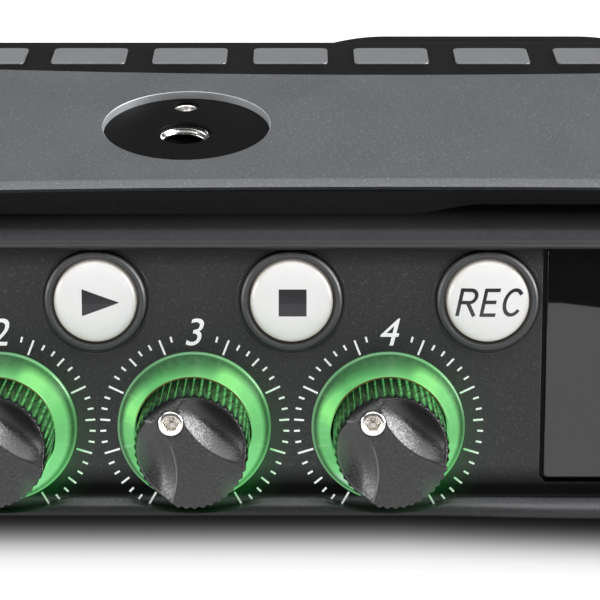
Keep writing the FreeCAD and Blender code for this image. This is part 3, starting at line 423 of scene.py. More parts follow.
# painted shade in the right hollow's outer part
shade_r = k.remap(d_right, 1.0, 0.0, 6.3, 7.6)
base = k.mix(k.math("MULTIPLY", shade_r, 0.9), base, (0.0075, 0.0075, 0.0085))
# painted highlight on the left hollow's wall, and a painted highlight line along its edge
wall_l_highlight = k.math("MULTIPLY", k.remap(d_left, 0.0, 1.0, 5.2, 6.6), k.remap(d_left, 1.0, 0.0, 7.5, 7.95))
base = k.mix(k.math("MULTIPLY", k.math("MULTIPLY", wall_l_highlight, k.remap(ky_, 1.0, 0.0, -4.5, 1.5)), k.remap(fine, 0.25, 0.8)), base, (0.16, 0.16, 0.165))
edge_l_highlight = k.math("MULTIPLY", k.remap(d_left, 0.0, 1.0, 7.85, 7.93), k.remap(d_left, 1.0, 0.0, 8.02, 8.1))
base = k.mix(k.math("MULTIPLY", edge_l_highlight, k.remap(ky_, 0.75, 0.0, 1.2, 2.2)), base, (0.17, 0.165, 0.16))
base = k.mix(rim_shade, base, (0.004, 0.0045, 0.004))
k.set("Base Color", base)
rough = k.mix(k.remap(mid, 0.0, 1.0, 0.35, 0.65), grey(0.26), grey(0.5))
k.set("Roughness", k.mix(side_, rough, grey(0.11)))
k.set("Specular IOR Level", k.math("MULTIPLY_ADD", k.math("MAXIMUM", rim_shade, k.math("MULTIPLY", shade_r, 0.75)), -0.42, 0.5))
calm = k.math("SUBTRACT", 1.0, side_)
k.bump([(k.math("MULTIPLY", mid, calm), 3.2e-5), (k.math("MULTIPLY", fine, calm), 2.0e-5)])
# painted light: green glow near the ring on the face and hollows, and green glints on the flutes, all as emission
tl = k.ramp(a_, [(0.0, grey(0.0)), (deg(-92), grey(0.0)), (deg(-70), grey(1.0)), (deg(-52), grey(1.0)), (deg(-30), grey(0.0)), (deg(148), grey(0.0)), (deg(166), grey(0.9)), (deg(176), grey(0.6)), (1.0, grey(0.0))], "EASE")
green_spill = k.math("MULTIPLY", k.remap(r_, 0.0, 1.0, 4.4, 6.0), tl)
wave_ = k.math("SINE", k.math("MULTIPLY_ADD", a_, 2 * PI * 42, 0.9))
glint = k.math("POWER", k.math("MAXIMUM", wave_, 0.0), 3.5)
glint = k.math("MULTIPLY", glint, k.remap(k.noise(0.9e-3, 2), 0.25, 1.0, 0.35, 0.65))
glint = k.math("MULTIPLY", glint, k.ramp(a_, [(0.0, grey(0.2)), (deg(-100), grey(0.7)), (deg(-50), grey(0.45)), (deg(-10), grey(0.6)), (deg(35), grey(0.9)), (deg(60), grey(1.0)), (deg(110), grey(0.8)), (1.0, grey(0.2))], "EASE"))
glint = k.math("MULTIPLY", glint, k.remap(kz_, 1.0, 0.0, 9.0, 10.2))
flank = k.mix(glint, lin(14, 34, 17), lin(112, 206, 120))
flank = k.mix(k.remap(kz_, 0.0, 0.75, 9.6, 10.8), flank, lin(16, 20, 17))
flank = k.mix(side_, (0.0, 0.0, 0.0), flank)
k.set("Emission Color", k.mix(1.0, k.mix(green_spill, (0.0, 0.0, 0.0), lin(27, 70, 31)), flank, "ADD"))
k.set("Emission Strength", 1.0)
m_knob = k.mat

# black cover glass: clear gloss over black, with very faint smears in its roughness
k = Nodes("cover_glass")
k.set("Base Color", k.mix(k.remap(k.noise(12e-3, 3), 0.0, 1.0), (0.0035, 0.0035, 0.004), (0.006, 0.006, 0.007)))
k.set("Roughness", k.remap(k.noise(6e-3, 4, 0.6), 0.008, 0.02))
k.set("IOR", 1.5)
k.bump([(k.noise(14e-3, 1), 6e-7)])
m_glass = k.mat

# dark glossy bezels with turned circles too fine to count
k = Nodes("bezel_gloss")
k.set("Base Color", k.mix(k.remap(k.noise(0.3e-3, 3), 0.0, 1.0), (0.05, 0.051, 0.054), (0.07, 0.071, 0.075)))
k.set("Roughness", k.remap(k.noise(1.2e-3, 3), 0.38, 0.5))
k.bump([(k.noise(0.25e-3, 2), 2e-6)])
m_bezel = k.mat
m_bead = pmat("bead_gloss", (0.045, 0.045, 0.048), 0.2, 0.0, grain=0.25e-3, height=1.5e-6, cvar=0.3, rvar=0.05)

# button cap: milky, browner at its rim, where the darkening towards the edge is painted shade; a faint glow, whiter
# towards the top, is painted light
k = Nodes("cap_milky")
sep = k.n.new("ShaderNodeSeparateXYZ")
k.l.new(k.co, sep.inputs[0])
rad = k.math("SQRT", k.math("ADD", k.math("POWER", sep.outputs[0], 2.0), k.math("POWER", sep.outputs[1], 2.0)))
up = k.math("MULTIPLY", sep.outputs[1], 1000.0)
rr = k.math("MULTIPLY", rad, 200.0)
# painted shade: darker and browner towards the rim
body = k.ramp(rr, [(0.0, (0.84, 0.84, 0.835)), (0.8, (0.84, 0.84, 0.83)), (0.865, (0.74, 0.72, 0.68)), (0.91, (0.42, 0.36, 0.29)), (1.0, (0.2, 0.17, 0.14))])
drift = k.noise(3e-3, 3)
k.set("Base Color", k.mix(k.remap(drift, 0.0, 0.25), body, (0.8, 0.8, 0.81)))
# painted light: a faint glow, whiter towards the top of the cap
k.set("Emission Color", k.mix(k.remap(up, 0.0, 1.0, -4.5, 4.5), body, k.mix(0.35, body, (1.0, 1.0, 1.0))))
k.set("Emission Strength", 0.22)
k.set("Roughness", k.remap(k.noise(0.8e-3, 3), 0.2, 0.28))
k.set("Subsurface Weight", 0.25)
k.set("Subsurface Radius", (0.001, 0.0009, 0.0008))
k.bump([(k.noise(0.4e-3, 2), 8e-7)])
m_cap = k.mat

# lit ring: brightness follows the clock angle round the ring and the way up its cone; within that glow the whitish
# sliver at the lower left and the thin bright line at the outer rim are painted highlights
k = Nodes("ring_lit")
rad, ang, up = clock(k, True)
inner = k.ramp(ang, [
    (deg(-180), lin(112, 205, 122)), (deg(-148), lin(130, 220, 142)), (deg(-138), lin(186, 236, 200)), (deg(-126), lin(126, 216, 136)), (deg(-112), lin(110, 196, 118)), (deg(-88), lin(122, 207, 128)),
    (deg(-70), lin(155, 255, 145)), (deg(-56), lin(136, 232, 136)), (deg(-40), lin(106, 192, 114)), (deg(-22), lin(104, 190, 112)),
    (deg(0), lin(118, 202, 124)), (deg(16), lin(116, 202, 120)), (deg(28), lin(153, 250, 145)), (deg(39), lin(158, 255, 148)), (deg(54), lin(132, 230, 132)),
    (deg(88), lin(120, 206, 126)), (deg(118), lin(135, 230, 144)), (deg(146), lin(150, 236, 160)), (deg(180), lin(112, 205, 122))], "EASE")
groove = k.ramp(ang, [(0.0, lin(56, 110, 66)), (deg(-90), lin(60, 88, 62)), (deg(0), lin(46, 78, 50)), (deg(45), lin(64, 120, 66)), (deg(90), lin(46, 84, 48)), (deg(130), lin(70, 150, 80)), (1.0, lin(56, 110, 66))], "EASE")
reach = k.ramp(ang, [(0.0, grey(0.4)), (deg(-75), grey(0.4)), (deg(-40), grey(0.75)), (deg(-5), grey(1.0)), (deg(14), grey(0.9)), (deg(32), grey(0.5)), (deg(75), grey(0.4)), (1.0, grey(0.4))], "EASE")
t = k.math("MULTIPLY_ADD", up, 1 / 3.78, -0.32 / 3.78)
climb = k.math("DIVIDE", k.math("SUBTRACT", t, 0.14), k.math("SUBTRACT", reach, 0.14), clamp=True)
bend_ = k.ramp(ang, [(0.0, grey(0.5)), (deg(-70), grey(0.5)), (deg(-30), grey(0.8)), (deg(-5), grey(0.85)), (deg(12), grey(0.75)), (deg(32), grey(0.45)), (1.0, grey(0.5))], "EASE")
climb = k.math("POWER", climb, k.math("MULTIPLY", bend_, 2.0))
fleck = k.noise(0.9e-3, 4, 0.6)
ring_col = k.mix(climb, groove, inner)
ring_col = k.mix(k.remap(fleck, 0.0, 0.12, 0.4, 0.75), ring_col, lin(90, 180, 100))
# painted highlight: a thin bright line at the outer rim
rim = k.ramp(ang, [(0.0, lin(98, 170, 104)), (deg(-90), lin(112, 160, 117)), (deg(0), lin(104, 160, 113)), (deg(45), lin(125, 205, 130)), (deg(90), lin(84, 142, 88)), (deg(130), lin(110, 200, 118)), (1.0, lin(98, 170, 104))], "EASE")
ring_col = k.mix(k.remap(rad, 0.0, 1.0, 8.24, 8.3), ring_col, rim)
upper = k.ramp(ang, [(deg(-80), grey(0.0)), (deg(-50), grey(1.0)), (deg(50), grey(1.0)), (deg(80), grey(0.0))])
warm = k.math("MULTIPLY", k.math("MULTIPLY", k.remap(rad, 1.0, 0.0, 6.6, 6.68), k.remap(up, 0.0, 1.0, 3.6, 3.9)), upper)
ring_col = k.mix(warm, ring_col, lin(92, 74, 38))
k.set("Emission Color", ring_col)
hid = k.math("MULTIPLY", k.remap(rad, 1.0, 0.0, 6.5, 6.56), k.remap(up, 1.0, 0.0, 3.7, 3.9))
hidden = k.ramp(ang, [(0.0, grey(0.9)), (deg(-120), grey(0.6)), (deg(-60), grey(0.22)), (deg(-30), grey(0.08)), (deg(10), grey(0.08)), (deg(60), grey(0.5)), (deg(120), grey(0.8)), (1.0, grey(0.9))], "EASE")
k.set("Emission Strength", k.math("ADD", k.math("MULTIPLY", k.math("SUBTRACT", 1.0, hid), 0.88), k.math("MULTIPLY", hid, k.math("MULTIPLY", hidden, 1.6))))
k.set("Base Color", k.mix(k.remap(fleck, 0.0, 1.0), (0.004, 0.04, 0.008), (0.008, 0.06, 0.014)))
k.set("Roughness", k.remap(k.noise(1.5e-3, 3), 0.24, 0.36))
k.set("Coat Weight", 0.12)
k.set("Coat Roughness", 0.1)
k.bump([(k.noise(1.1e-3, 3, 0.6), 4e-6)])
m_ring = k.mat


# ------------------------------------------------------------------- geometry
def transform_mesh(me, m):
    me.transform(m)
    me.update()


def finish_mesh(me, angle=35.0, smooth=True):
    for p in me.polygons:
        p.use_smooth = smooth
    if smooth and angle is not None:
        me.set_sharp_from_angle(angle=math.radians(angle))
    me.update()


def fix_normals(me):
    import bmesh
    b = bmesh.new()
    b.from_mesh(me)
    bmesh.ops.remove_doubles(b, verts=b.verts, dist=1e-7)
    bmesh.ops.recalc_face_normals(b, faces=b.faces)
    b.to_mesh(me)
    b.free()


def make(name, verts, faces, mat, body, m=None, replaces=(), angle=35.0, slot=None, local=False, recalc=True, more=()):
    """verts in mm; m takes them to the frame. local keeps the mesh in its own axes and puts m on the object."""
    me = bpy.data.meshes.new(name)
    me.from_pydata([tuple(v) for v in verts], [], [tuple(int(i) for i in f) for f in faces])
    if recalc:
        fix_normals(me)
    m = M_DESIGN if m is None else m
    ob = bpy.data.objects.new(name, me)
    bpy.context.scene.collection.objects.link(ob)
    if local:
        loc, rot, sc = m.decompose()
        transform_mesh(me, Matrix.Scale(0.001, 4))
        ob.matrix_world = Matrix.Translation(loc) @ rot.to_matrix().to_4x4()
    else:
        transform_mesh(me, m)
    finish_mesh(me, angle)
    me.materials.append(mat)
    for extra in more:
        me.materials.append(extra)
    if body is not None:
        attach(ob, body)
    if replaces:
        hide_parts(*([replaces] if isinstance(replaces, str) else replaces))
    return ob


def settle(ob, angle=35.0):
    """Applies the modifiers of ob to its mesh."""
    bpy.context.view_layer.update()
    dg = bpy.context.evaluated_depsgraph_get()
    me = bpy.data.meshes.new_from_object(ob.evaluated_get(dg))
    ob.modifiers.clear()
    ob.data = me
    if angle is not None:
        finish_mesh(me, angle)
    return ob


def drop(ob):
    bpy.data.objects.remove(ob, do_unlink=True)


def cut_with(ob, cutters, angle=35.0):
    for c in cutters:
        mod = ob.modifiers.new("cut", "BOOLEAN")
        mod.operation = "DIFFERENCE"
        mod.solver = "EXACT"
        mod.object = c
    settle(ob, angle)
    for c in cutters:
        drop(c)
    return weighted(ob)


def weighted(ob):
    """Large flat faces keep their own normals next to small bevels."""
    mod = ob.modifiers.new("wn", "WEIGHTED_NORMAL")
    mod.mode = "FACE_AREA"
    mod.weight = 50
    mod.keep_sharp = True
    return settle(ob, None)


def bevelled(ob, width, seg=3, angle=35.0, limit=40.0):
    mod = ob.modifiers.new("bevel", "BEVEL")
    mod.width = width * 0.001
    mod.segments = seg
    mod.limit_method = "ANGLE"
    mod.angle_limit = math.radians(limit)
    mod.use_clamp_overlap = True
    mod.harden_normals = False
    settle(ob, angle)
    return weighted(ob)


def lathe(profile, seg=128, closed=False, radius_mod=None):
    """Profile of (r, z) turned about z. radius_mod(theta, r, z) changes r."""
    verts, rows = [], []
    for r, z in profile:
        if r < 1e-6:
            rows.append([len(verts)])
            verts.append((0.0, 0.0, z))
            continue
        row = []
        for i in range(seg):
            a = 2 * PI * i / seg
            q = radius_mod(a, r, z) if radius_mod else r
            row.append(len(verts))
            verts.append((q * math.cos(a), q * math.sin(a), z))
        rows.append(row)
    faces = []
    pairs = list(zip(rows, rows[1:])) + ([(rows[-1], rows[0])] if closed else [])
    for a, b in pairs:
        if len(a) == 1 and len(b) == 1:
            continue
        for i in range(seg):
            j = (i + 1) % seg
            if len(a) == 1:
                faces.append((a[0], b[i], b[j]))
            elif len(b) == 1:
                faces.append((a[i], b[0], a[j]))
            else:
                faces.append((a[i], b[i], b[j], a[j]))
    return verts, faces


def soften(points, radius, n=4, closed=False):
    """Rounds the corners of a polyline of 2-D points."""
    pts = [Vector(p) for p in points]
    out = []
    count = len(pts)
    for i, p in enumerate(pts):
        rad = radius[i] if isinstance(radius, (list, tuple)) else radius
        if (not closed and i in (0, count - 1)) or rad <= 0:
            out.append(tuple(p))
            continue
        a, b = pts[(i - 1) % count] - p, pts[(i + 1) % count] - p
        la, lb = a.length, b.length
        if la < 1e-9 or lb < 1e-9:
            out.append(tuple(p))
            continue
        a, b = a / la, b / lb
        half = a.angle(b) / 2
        if half > PI / 2 - 0.02:
            out.append(tuple(p))
            continue
        d = min(rad / math.tan(half), la * 0.49, lb * 0.49)
        rad = d * math.tan(half)
        c = p + (a + b).normalized() * (rad / math.sin(half))
        s, e = p + a * d - c, p + b * d - c
        sweep = s.angle(e)
        cross = s.x * e.y - s.y * e.x
        for kk in range(n + 1):
            t = sweep * kk / n * (1 if cross > 0 else -1)
            out.append((c.x + s.x * math.cos(t) - s.y * math.sin(t), c.y + s.x * math.sin(t) + s.y * math.cos(t)))
    return out


def prism_x(points, x0, x1):
    """Closed (y, z) outline run along X."""
    n = len(points)
    verts = [(x0, y, z) for y, z in points] + [(x1, y, z) for y, z in points]
    faces = [(i, (i + 1) % n, (i + 1) % n + n, i + n) for i in range(n)]
    faces += [tuple(range(n)), tuple(reversed(range(n, 2 * n)))]
    return verts, faces


def loft_x(sections):
    """sections: (x, [(y, z)...]) with equal point counts; closed at both ends."""
    n = len(sections[0][1])
    verts = [(x, y, z) for x, pts in sections for y, z in pts]
    faces = []
    for s in range(len(sections) - 1):
        for i in range(n):
            j = (i + 1) % n
            faces.append((s * n + i, s * n + j, (s + 1) * n + j, (s + 1) * n + i))
    faces += [tuple(range(n)), tuple(reversed(range((len(sections) - 1) * n, len(sections) * n)))]
    return verts, faces


def block(x0, x1, y0, y1, z0, z1):
    verts = [(x, y, z) for x in (x0, x1) for y in (y0, y1) for z in (z0, z1)]
    faces = [(0, 1, 3, 2), (4, 6, 7, 5), (0, 4, 5, 1), (2, 3, 7, 6), (0, 2, 6, 4), (1, 5, 7, 3)]
    return verts, faces


def join(*parts):
    verts, faces = [], []
    for v, f in parts:
        o = len(verts)
        verts += list(v)
        faces += [tuple(i + o for i in q) for q in f]
    return verts, faces


def moved(part, m):
    v, f = part
    return [tuple(m @ Vector(p)) for p in v], f


def circle(r, cx=0.0, cy=0.0, n=96):
    return [(cx + r * math.cos(2 * PI * i / n), cy + r * math.sin(2 * PI * i / n)) for i in range(n)]


def rect(x0, x1, y0, y1, r=0.5, n=5):
    return soften([(x0, y0), (x1, y0), (x1, y1), (x0, y1)], r, n, True)


def slab(name, outline, holes, z0, z1, bevel, mat, body, m, replaces=(), angle=35.0, seg=2):
    """Flat plate with holes; both faces have bevelled rims."""
    cu = bpy.data.curves.new(name, "CURVE")
    cu.dimensions = "2D"
    cu.fill_mode = "BOTH"
    for pts in [outline] + list(holes):
        sp = cu.splines.new("POLY")
        sp.points.add(len(pts) - 1)
        for q, (a, b) in zip(sp.points, pts):
            q.co = (a, b, 0, 1)
        sp.use_cyclic_u = True
    cu.extrude = (z1 - z0) / 2 - bevel
    cu.bevel_depth = bevel
    cu.bevel_resolution = seg
    cu.offset = -bevel
    ob = bpy.data.objects.new(name, cu)
    bpy.context.scene.collection.objects.link(ob)
    bpy.context.view_layer.update()
    me = bpy.data.meshes.new_from_object(ob.evaluated_get(bpy.context.evaluated_depsgraph_get()))
    drop(ob)
    me.transform(Matrix.Translation((0, 0, (z0 + z1) / 2)))
    fix_normals(me)
    me.transform(m)
    me.name = name
    new = bpy.data.objects.new(name, me)
    bpy.context.scene.collection.objects.link(new)
    me.materials.clear()
    finish_mesh(me, angle)
    me.materials.append(mat)
    if body:
        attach(new, body)
    if replaces:
        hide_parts(*([replaces] if isinstance(replaces, str) else replaces))
    axis = (m.to_3x3() @ Vector((0, 0, 1))).normalized()
    for q in me.polygons:
        if abs(q.normal.dot(axis)) > 0.9998:
            q.use_smooth = False
    me.update()
    return new


# smooth combinations of distance fields
def smax(a, b, k_):
    h = np.clip(0.5 + 0.5 * (a - b) / k_, 0.0, 1.0)
    return b * (1 - h) + a * h + k_ * h * (1 - h)


def smin(a, b, k_):
    return -smax(-a, -b, k_)


def nets(f, lo, hi, h, steps=3):
    """Surface nets of f = 0 on a grid of pitch h; vertices are pulled onto the surface."""
    ax = [np.arange(l, u + h, h) for l, u in zip(lo, hi)]
    F = f(*np.meshgrid(*ax, indexing="ij"))
    inside = F < 0
    s0, s1 = slice(0, -1), slice(1, None)
    count = sum(inside[a, b, c].astype(int) for a in (s0, s1) for b in (s0, s1) for c in (s0, s1))
    active = (count > 0) & (count < 8)
    idx = -np.ones(active.shape, dtype=np.int64)
    idx[active] = np.arange(int(active.sum()))
    I = np.argwhere(active)
    P, cnt = np.zeros((len(I), 3)), np.zeros(len(I))
    corners = [(a, b, c) for a in (0, 1) for b in (0, 1) for c in (0, 1)]
    for a in corners:
        for d in range(3):
            if a[d]:
                continue
            b = list(a)
            b[d] = 1
            A, B = I + np.array(a), I + np.array(b)
            fa, fb = F[tuple(A.T)], F[tuple(B.T)]
            m = (fa < 0) != (fb < 0)
            t = np.where(m, fa / np.where(m, fa - fb, 1.0), 0.0)
            p = A + (B - A) * t[:, None]
            P[m] += p[m]
            cnt[m] += 1
    V = np.array(lo) + P / cnt[:, None] * h
    e = h * 0.05
    for _ in range(steps):
        v = f(V[:, 0], V[:, 1], V[:, 2])
        g = np.stack([(f(*(V + np.eye(3)[d] * e).T) - f(*(V - np.eye(3)[d] * e).T)) / (2 * e) for d in range(3)], 1)
        step = v[:, None] * g / np.maximum((g * g).sum(1), 1e-9)[:, None]
        size = np.linalg.norm(step, axis=1, keepdims=True)
        V = V - step * np.minimum(1.0, 0.4 * h / np.maximum(size, 1e-12))
    faces = []
    for d in range(3):
        o1, o2 = [q for q in range(3) if q != d]
        sl0, sl1 = [slice(1, -1)] * 3, [slice(1, -1)] * 3
        sl0[d], sl1[d] = slice(0, -1), slice(1, None)
        A, B = inside[tuple(sl0)], inside[tuple(sl1)]
        for way in (0, 1):
            m = (A & ~B) if way == 0 else (~A & B)
            E = np.argwhere(m)
            base = E.copy()
            for q in (o1, o2):
                base[:, q] += 1
            quad = []
            for da, db in ((1, 1), (0, 1), (0, 0), (1, 0)):
                c = base.copy()
                c[:, o1] -= da
                c[:, o2] -= db
                quad.append(idx[tuple(c.T)])
            Q = np.stack(quad, 1)
            flip = (d == 1) ^ (way == 1)
            faces.append(Q[:, ::-1] if flip else Q)
    return V, np.concatenate(faces)


def make_nets(name, f, lo, hi, h, mat, body, m, replaces=(), data=None):
    """A mesh from a distance field, in its own axes (mm in f), with m on the object."""
    if data is None:
        V, Q = nets(f, lo, hi, h)
        e = h * 0.05
        g = np.stack([f(*(V + np.eye(3)[d] * e).T) - f(*(V - np.eye(3)[d] * e).T) for d in range(3)], 1)
        g /= np.maximum(np.linalg.norm(g, axis=1, keepdims=True), 1e-12)
        data = (V, Q, g)
    V, Q, g = data
    me = bpy.data.meshes.new(name)
    me.from_pydata((V * 0.001).tolist(), [], Q.tolist())
    for p in me.polygons:
        p.use_smooth = True
    me.normals_split_custom_set_from_vertices(g.tolist())
    ob = bpy.data.objects.new(name, me)
    bpy.context.scene.collection.objects.link(ob)
    loc, rot, sc = m.decompose()
    ob.matrix_world = Matrix.Translation(loc) @ rot.to_matrix().to_4x4()
    me.materials.append(mat)
    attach(ob, body)
    if replaces:
        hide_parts(*([replaces] if isinstance(replaces, str) else replaces))
    return ob, data


def text_mesh(word, cap, italic=0.0, weight=0.0, squeeze=1.0, gap=1.0):
    """Lettering as flat vertices and faces in mm, centred, with capitals cap high."""
    cu = bpy.data.curves.new("t", "FONT")
    cu.body = word
    cu.size = 1.0
    cu.shear = italic
    cu.offset = weight
    cu.space_character = gap
    cu.resolution_u = 6
    cu.align_x = "LEFT"
    ob = bpy.data.objects.new("t", cu)
    bpy.context.scene.collection.objects.link(ob)
    bpy.context.view_layer.update()
    me = bpy.data.meshes.new_from_object(ob.evaluated_get(bpy.context.evaluated_depsgraph_get()))
    drop(ob)
    v = np.array([q.co for q in me.vertices])
    f = [tuple(p.vertices) for p in me.polygons]
    bpy.data.meshes.remove(me)
    hgt = v[:, 1].max() - v[:, 1].min()
    v = v * (cap / hgt)
    v[:, 0] *= squeeze
    v[:, 0] -= (v[:, 0].max() + v[:, 0].min()) / 2
    v[:, 1] -= (v[:, 1].max() + v[:, 1].min()) / 2
    return v, f


def refine(v, f, longest):
    """Splits triangles until no edge is longer than longest."""
    import bmesh
    b = bmesh.new()
    vs = [b.verts.new(p) for p in v]
    for q in f:
        try:
            b.faces.new([vs[i] for i in q])
        except ValueError:
            pass
    bmesh.ops.remove_doubles(b, verts=b.verts, dist=1e-6)
    bmesh.ops.triangulate(b, faces=b.faces)
    for _ in range(6):
        es = [e for e in b.edges if e.calc_length() > longest]
        if not es:
            break
        bmesh.ops.subdivide_edges(b, edges=es, cuts=1, use_grid_fill=False)
        bmesh.ops.triangulate(b, faces=b.faces)
    b.verts.index_update()
    out = np.array([q.co for q in b.verts]), [tuple(w.index for w in q.verts) for q in b.faces]
    b.free()
    return out


def skin(v, f, height, top=0.014, bottom=-0.02):
    """A thin closed layer that follows height(x, y)."""
    n = len(v)
    hh = np.array([height(p[0], p[1]) for p in v])
    up_ = [(p[0], p[1], h + top) for p, h in zip(v, hh)]
    dn = [(p[0], p[1], h + bottom) for p, h in zip(v, hh)]
    area = 0.0
    edges = {}
    faces = []
    for q in f:
        faces.append(tuple(q))
        faces.append(tuple(i + n for i in reversed(q)))
        for a, b in zip(q, q[1:] + q[:1]):
            edges[(a, b)] = edges.get((a, b), 0) + 1
    for (a, b) in edges:
        if (b, a) not in edges:
            faces.append((b, a, a + n, b + n))
    return up_ + dn, faces


def label(name, word, cap, m, mat, body, italic=0.0, weight=0.0, squeeze=1.0, gap=1.0, slot=None, height=None, top=0.014, longest=None):
    v, f = text_mesh(word, cap, italic, weight, squeeze, gap)
    v, f = refine(v, f, longest or 1e9)
    vv, ff = skin(v, f, height or (lambda x_, y_: 0.0), top)
    return make(name, vv, ff, mat, body, m, angle=50, slot=slot)


# --------------------------------------------------------------- front frame
LIP = [(3.15, 0.9), (2.6, 1.26), (2.05, 1.61), (1.6, 1.9), (1.34, 2.08), (1.26, 2.2), (1.27, 2.4), (1.36, 2.7), (1.5, 2.98), (1.72, 3.22), (2.05, 3.4), (2.5, 3.52), (3.0, 3.56)]


def catmull(points, per=3):
    p = [Vector(q) for q in points]
    p = [p[0] * 2 - p[1]] + p + [p[-1] * 2 - p[-2]]
    out = []
    for i in range(1, len(p) - 2):
        for j in range(per):
            t = j / per
            a, b, c, d = p[i - 1], p[i], p[i + 1], p[i + 2]
            out.append(tuple(0.5 * ((2 * b) + (c - a) * t + (2 * a - 5 * b + 4 * c - d) * t * t + (3 * b - a - 3 * c + d) * t ** 3)))
    out.append(tuple(p[-2]))
    return out


lip_front = catmull(LIP, 3)
foot = (5.3 - 9.358 * SL / CL, 11.3 - 9.358)
foot_rear = (foot[0] + 1.6 * CL, foot[1] - 1.6 * SL)
tail = [tuple(Vector(lip_front[-1]).lerp(Vector(foot), t)) for t in (0.25, 0.5, 0.75, 1.0)] + [foot_rear, (8.5, foot_rear[1]), (8.5, 0.9)]


def scallop(x):
    best = 99.0
    for kx in KNOB_X:
        d = abs(x - kx)
        if d < 19.0:
            best = min(best, 9.5 - math.sqrt(19.1 ** 2 - d * d))
    return best


xs = sorted(set([round(-80 + 0.5 * i, 3) for i in range(321)] + [-79.95, 79.95]))
sections = []
for xx in xs:
    lim = scallop(xx)
    pts = []
    swell = min(1.0, max(0.0, (xx - 1.0) / 20.0))
    swell = 0.62 * swell * swell * (3 - 2 * swell)
    for (yy, zz) in lip_front + tail:
        yy -= swell * min(1.0, max(0.0, (3.6 - yy) / 1.5))
        dy, dz = yy - 5.3, zz - 11.3
        uu, nn = dy * SL + dz * CL, -dy * CL + dz * SL
        if nn > 0.02 and uu > -9.9:
            a = lim - uu
            kk = 0.25
            h_ = min(1.0, max(0.0, 0.5 + 0.5 * (-a) / kk))
            uu = uu * (1 - h_) + lim * h_ - kk * h_ * (1 - h_)
        end = max(0.0, (abs(xx) - 79.2) / 0.8)
        if nn > 0:
            nn -= 0.5 * end * end * min(1.0, nn)
        pts.append((5.3 + uu * SL - nn * CL, 11.3 + uu * CL + nn * SL))
    sections.append((xx, pts))
lip = make("front_lip", *loft_x(sections), m_frame, "housing", angle=50, replaces="front_frame", slot="frame_black")

# shelf above the panel: its front edge dips a little over each button
rail_xs = [round(-77.3 + 0.5 * i, 3) for i in range(310)] + [77.3]
sections = []
for xx in rail_xs:
    dip = 0.0
    for bx in BUTTON_X + [TOGGLE_X]:
        w_ = 5.2 if bx != TOGGLE_X else 3.4
        d = abs(xx - bx) / w_
        if d < 1:
            dip = max(dip, 0.07 * (0.5 + 0.5 * math.cos(PI * d)))
    base = [(9.9 - dip * SL, 31.0 - dip), (9.8 - dip * SL, 31.19 - dip), (10.12, 31.43), (19.4, 32.5), (19.4, 31.0)]
    sections.append((xx, soften(base, [0.0, 0.1, 0.3, 0.1, 0.0], 3, True)))
make("front_shelf", *loft_x(sections), m_frame, "housing", angle=50, slot="frame_black")
cheek = [(3.15, 0.9), (1.95, 1.55), (1.25, 2.2), (1.12, 2.65), (1.5, 3.05), (9.82, 31.2), (10.1, 31.42), (13.9, shelf_z(13.9)), (foot_rear[0] + 1.05, foot_rear[1]), (8.5, foot_rear[1]), (8.5, 0.9)]
for s, side_name in ((-1, "left"), (1, "right")):
    ob = make("front_cheek_" + side_name, *prism_x(soften(cheek, 0.35, 3, True), s * 77.35, s * HALF), m_frame, "housing", slot="frame_black")
    bevelled(ob, 0.9, 4, limit=60)

# --------------------------------------------------------------- front panel
gx0, gx1, gu0, gu1 = 15.75, 61.9, -5.85, 20.1
window = rect(gx0 - 0.45, gx1 + 0.55, gu0 - 0.55, 21.2, 0.75, 6)
outline = [(-77.3, -9.75), (77.3, -9.75), (77.3, 20.3), (gx1 + 0.55, 20.3), (gx1 + 0.55, gu0 + 0.2), (gx1 - 0.2, gu0 - 0.55), (gx0 + 0.2, gu0 - 0.55), (gx0 - 0.45, gu0 + 0.2), (gx0 - 0.45, 20.3), (-77.3, 20.3)]
holes = [circle(7.25, kx, 0, 128) for kx in KNOB_X] + [circle(5.66, bx, ROW_U, 160) for bx in BUTTON_X] + [circle(2.75, TOGGLE_X, ROW_U, 64)]
slab("front_panel_sheet", outline, holes, -1.6, 0.0, 0.09, m_panel, "housing", M_PANEL, "front_panel")

# ---------------------------------------------------------- ticks and digits
marks = []
for kx in KNOB_X:
    for i in range(43):
        a_deg = -150 + 300.0 * i / 42
        idx = abs(i - 21)
        if idx < 2:
            continue
        length = 1.77 if idx % 6 == 3 else (1.1 if idx % 6 == 0 else 0.65)
        a = math.radians(a_deg)
        rm = 10.5 - length / 2
        q = moved(block(-0.11, 0.11, -length / 2, length / 2, -0.02, 0.014), Matrix.Translation((kx + rm * math.sin(a), rm * math.cos(a), 0)) @ Matrix.Rotation(-a, 4, "Z"))
        marks.append(q)
make("tick_marks", *join(*marks), m_tick, "housing", M_PANEL, slot="button_white")
for i, kx in enumerate(KNOB_X, 1):
    label("channel_digit_%d" % i, str(i), 3.05, at_panel(kx + 0.1, 10.72), m_digit, "housing", italic=0.25, weight=0.0, squeeze=0.98, slot="button_white")

# ------------------------------------------------------------------- display
slab("display_cover", rect(gx0, gx1, gu0, gu1, 0.5, 5), [], -0.95, 0.15, 0.16, m_glass, "housing", M_PANEL, "display_glass", seg=3)
slab("display_seal", rect(gx0 - 0.46, gx1 + 0.46, gu0 - 0.46, gu1 + 0.1, 0.6, 5), [rect(gx0 + 1.5, gx1 - 1.5, gu0 + 1.5, gu1 - 1.5, 0.4, 4)], -1.5, -1.0, 0.05, m_rubber, "housing", M_PANEL, "display_gasket")

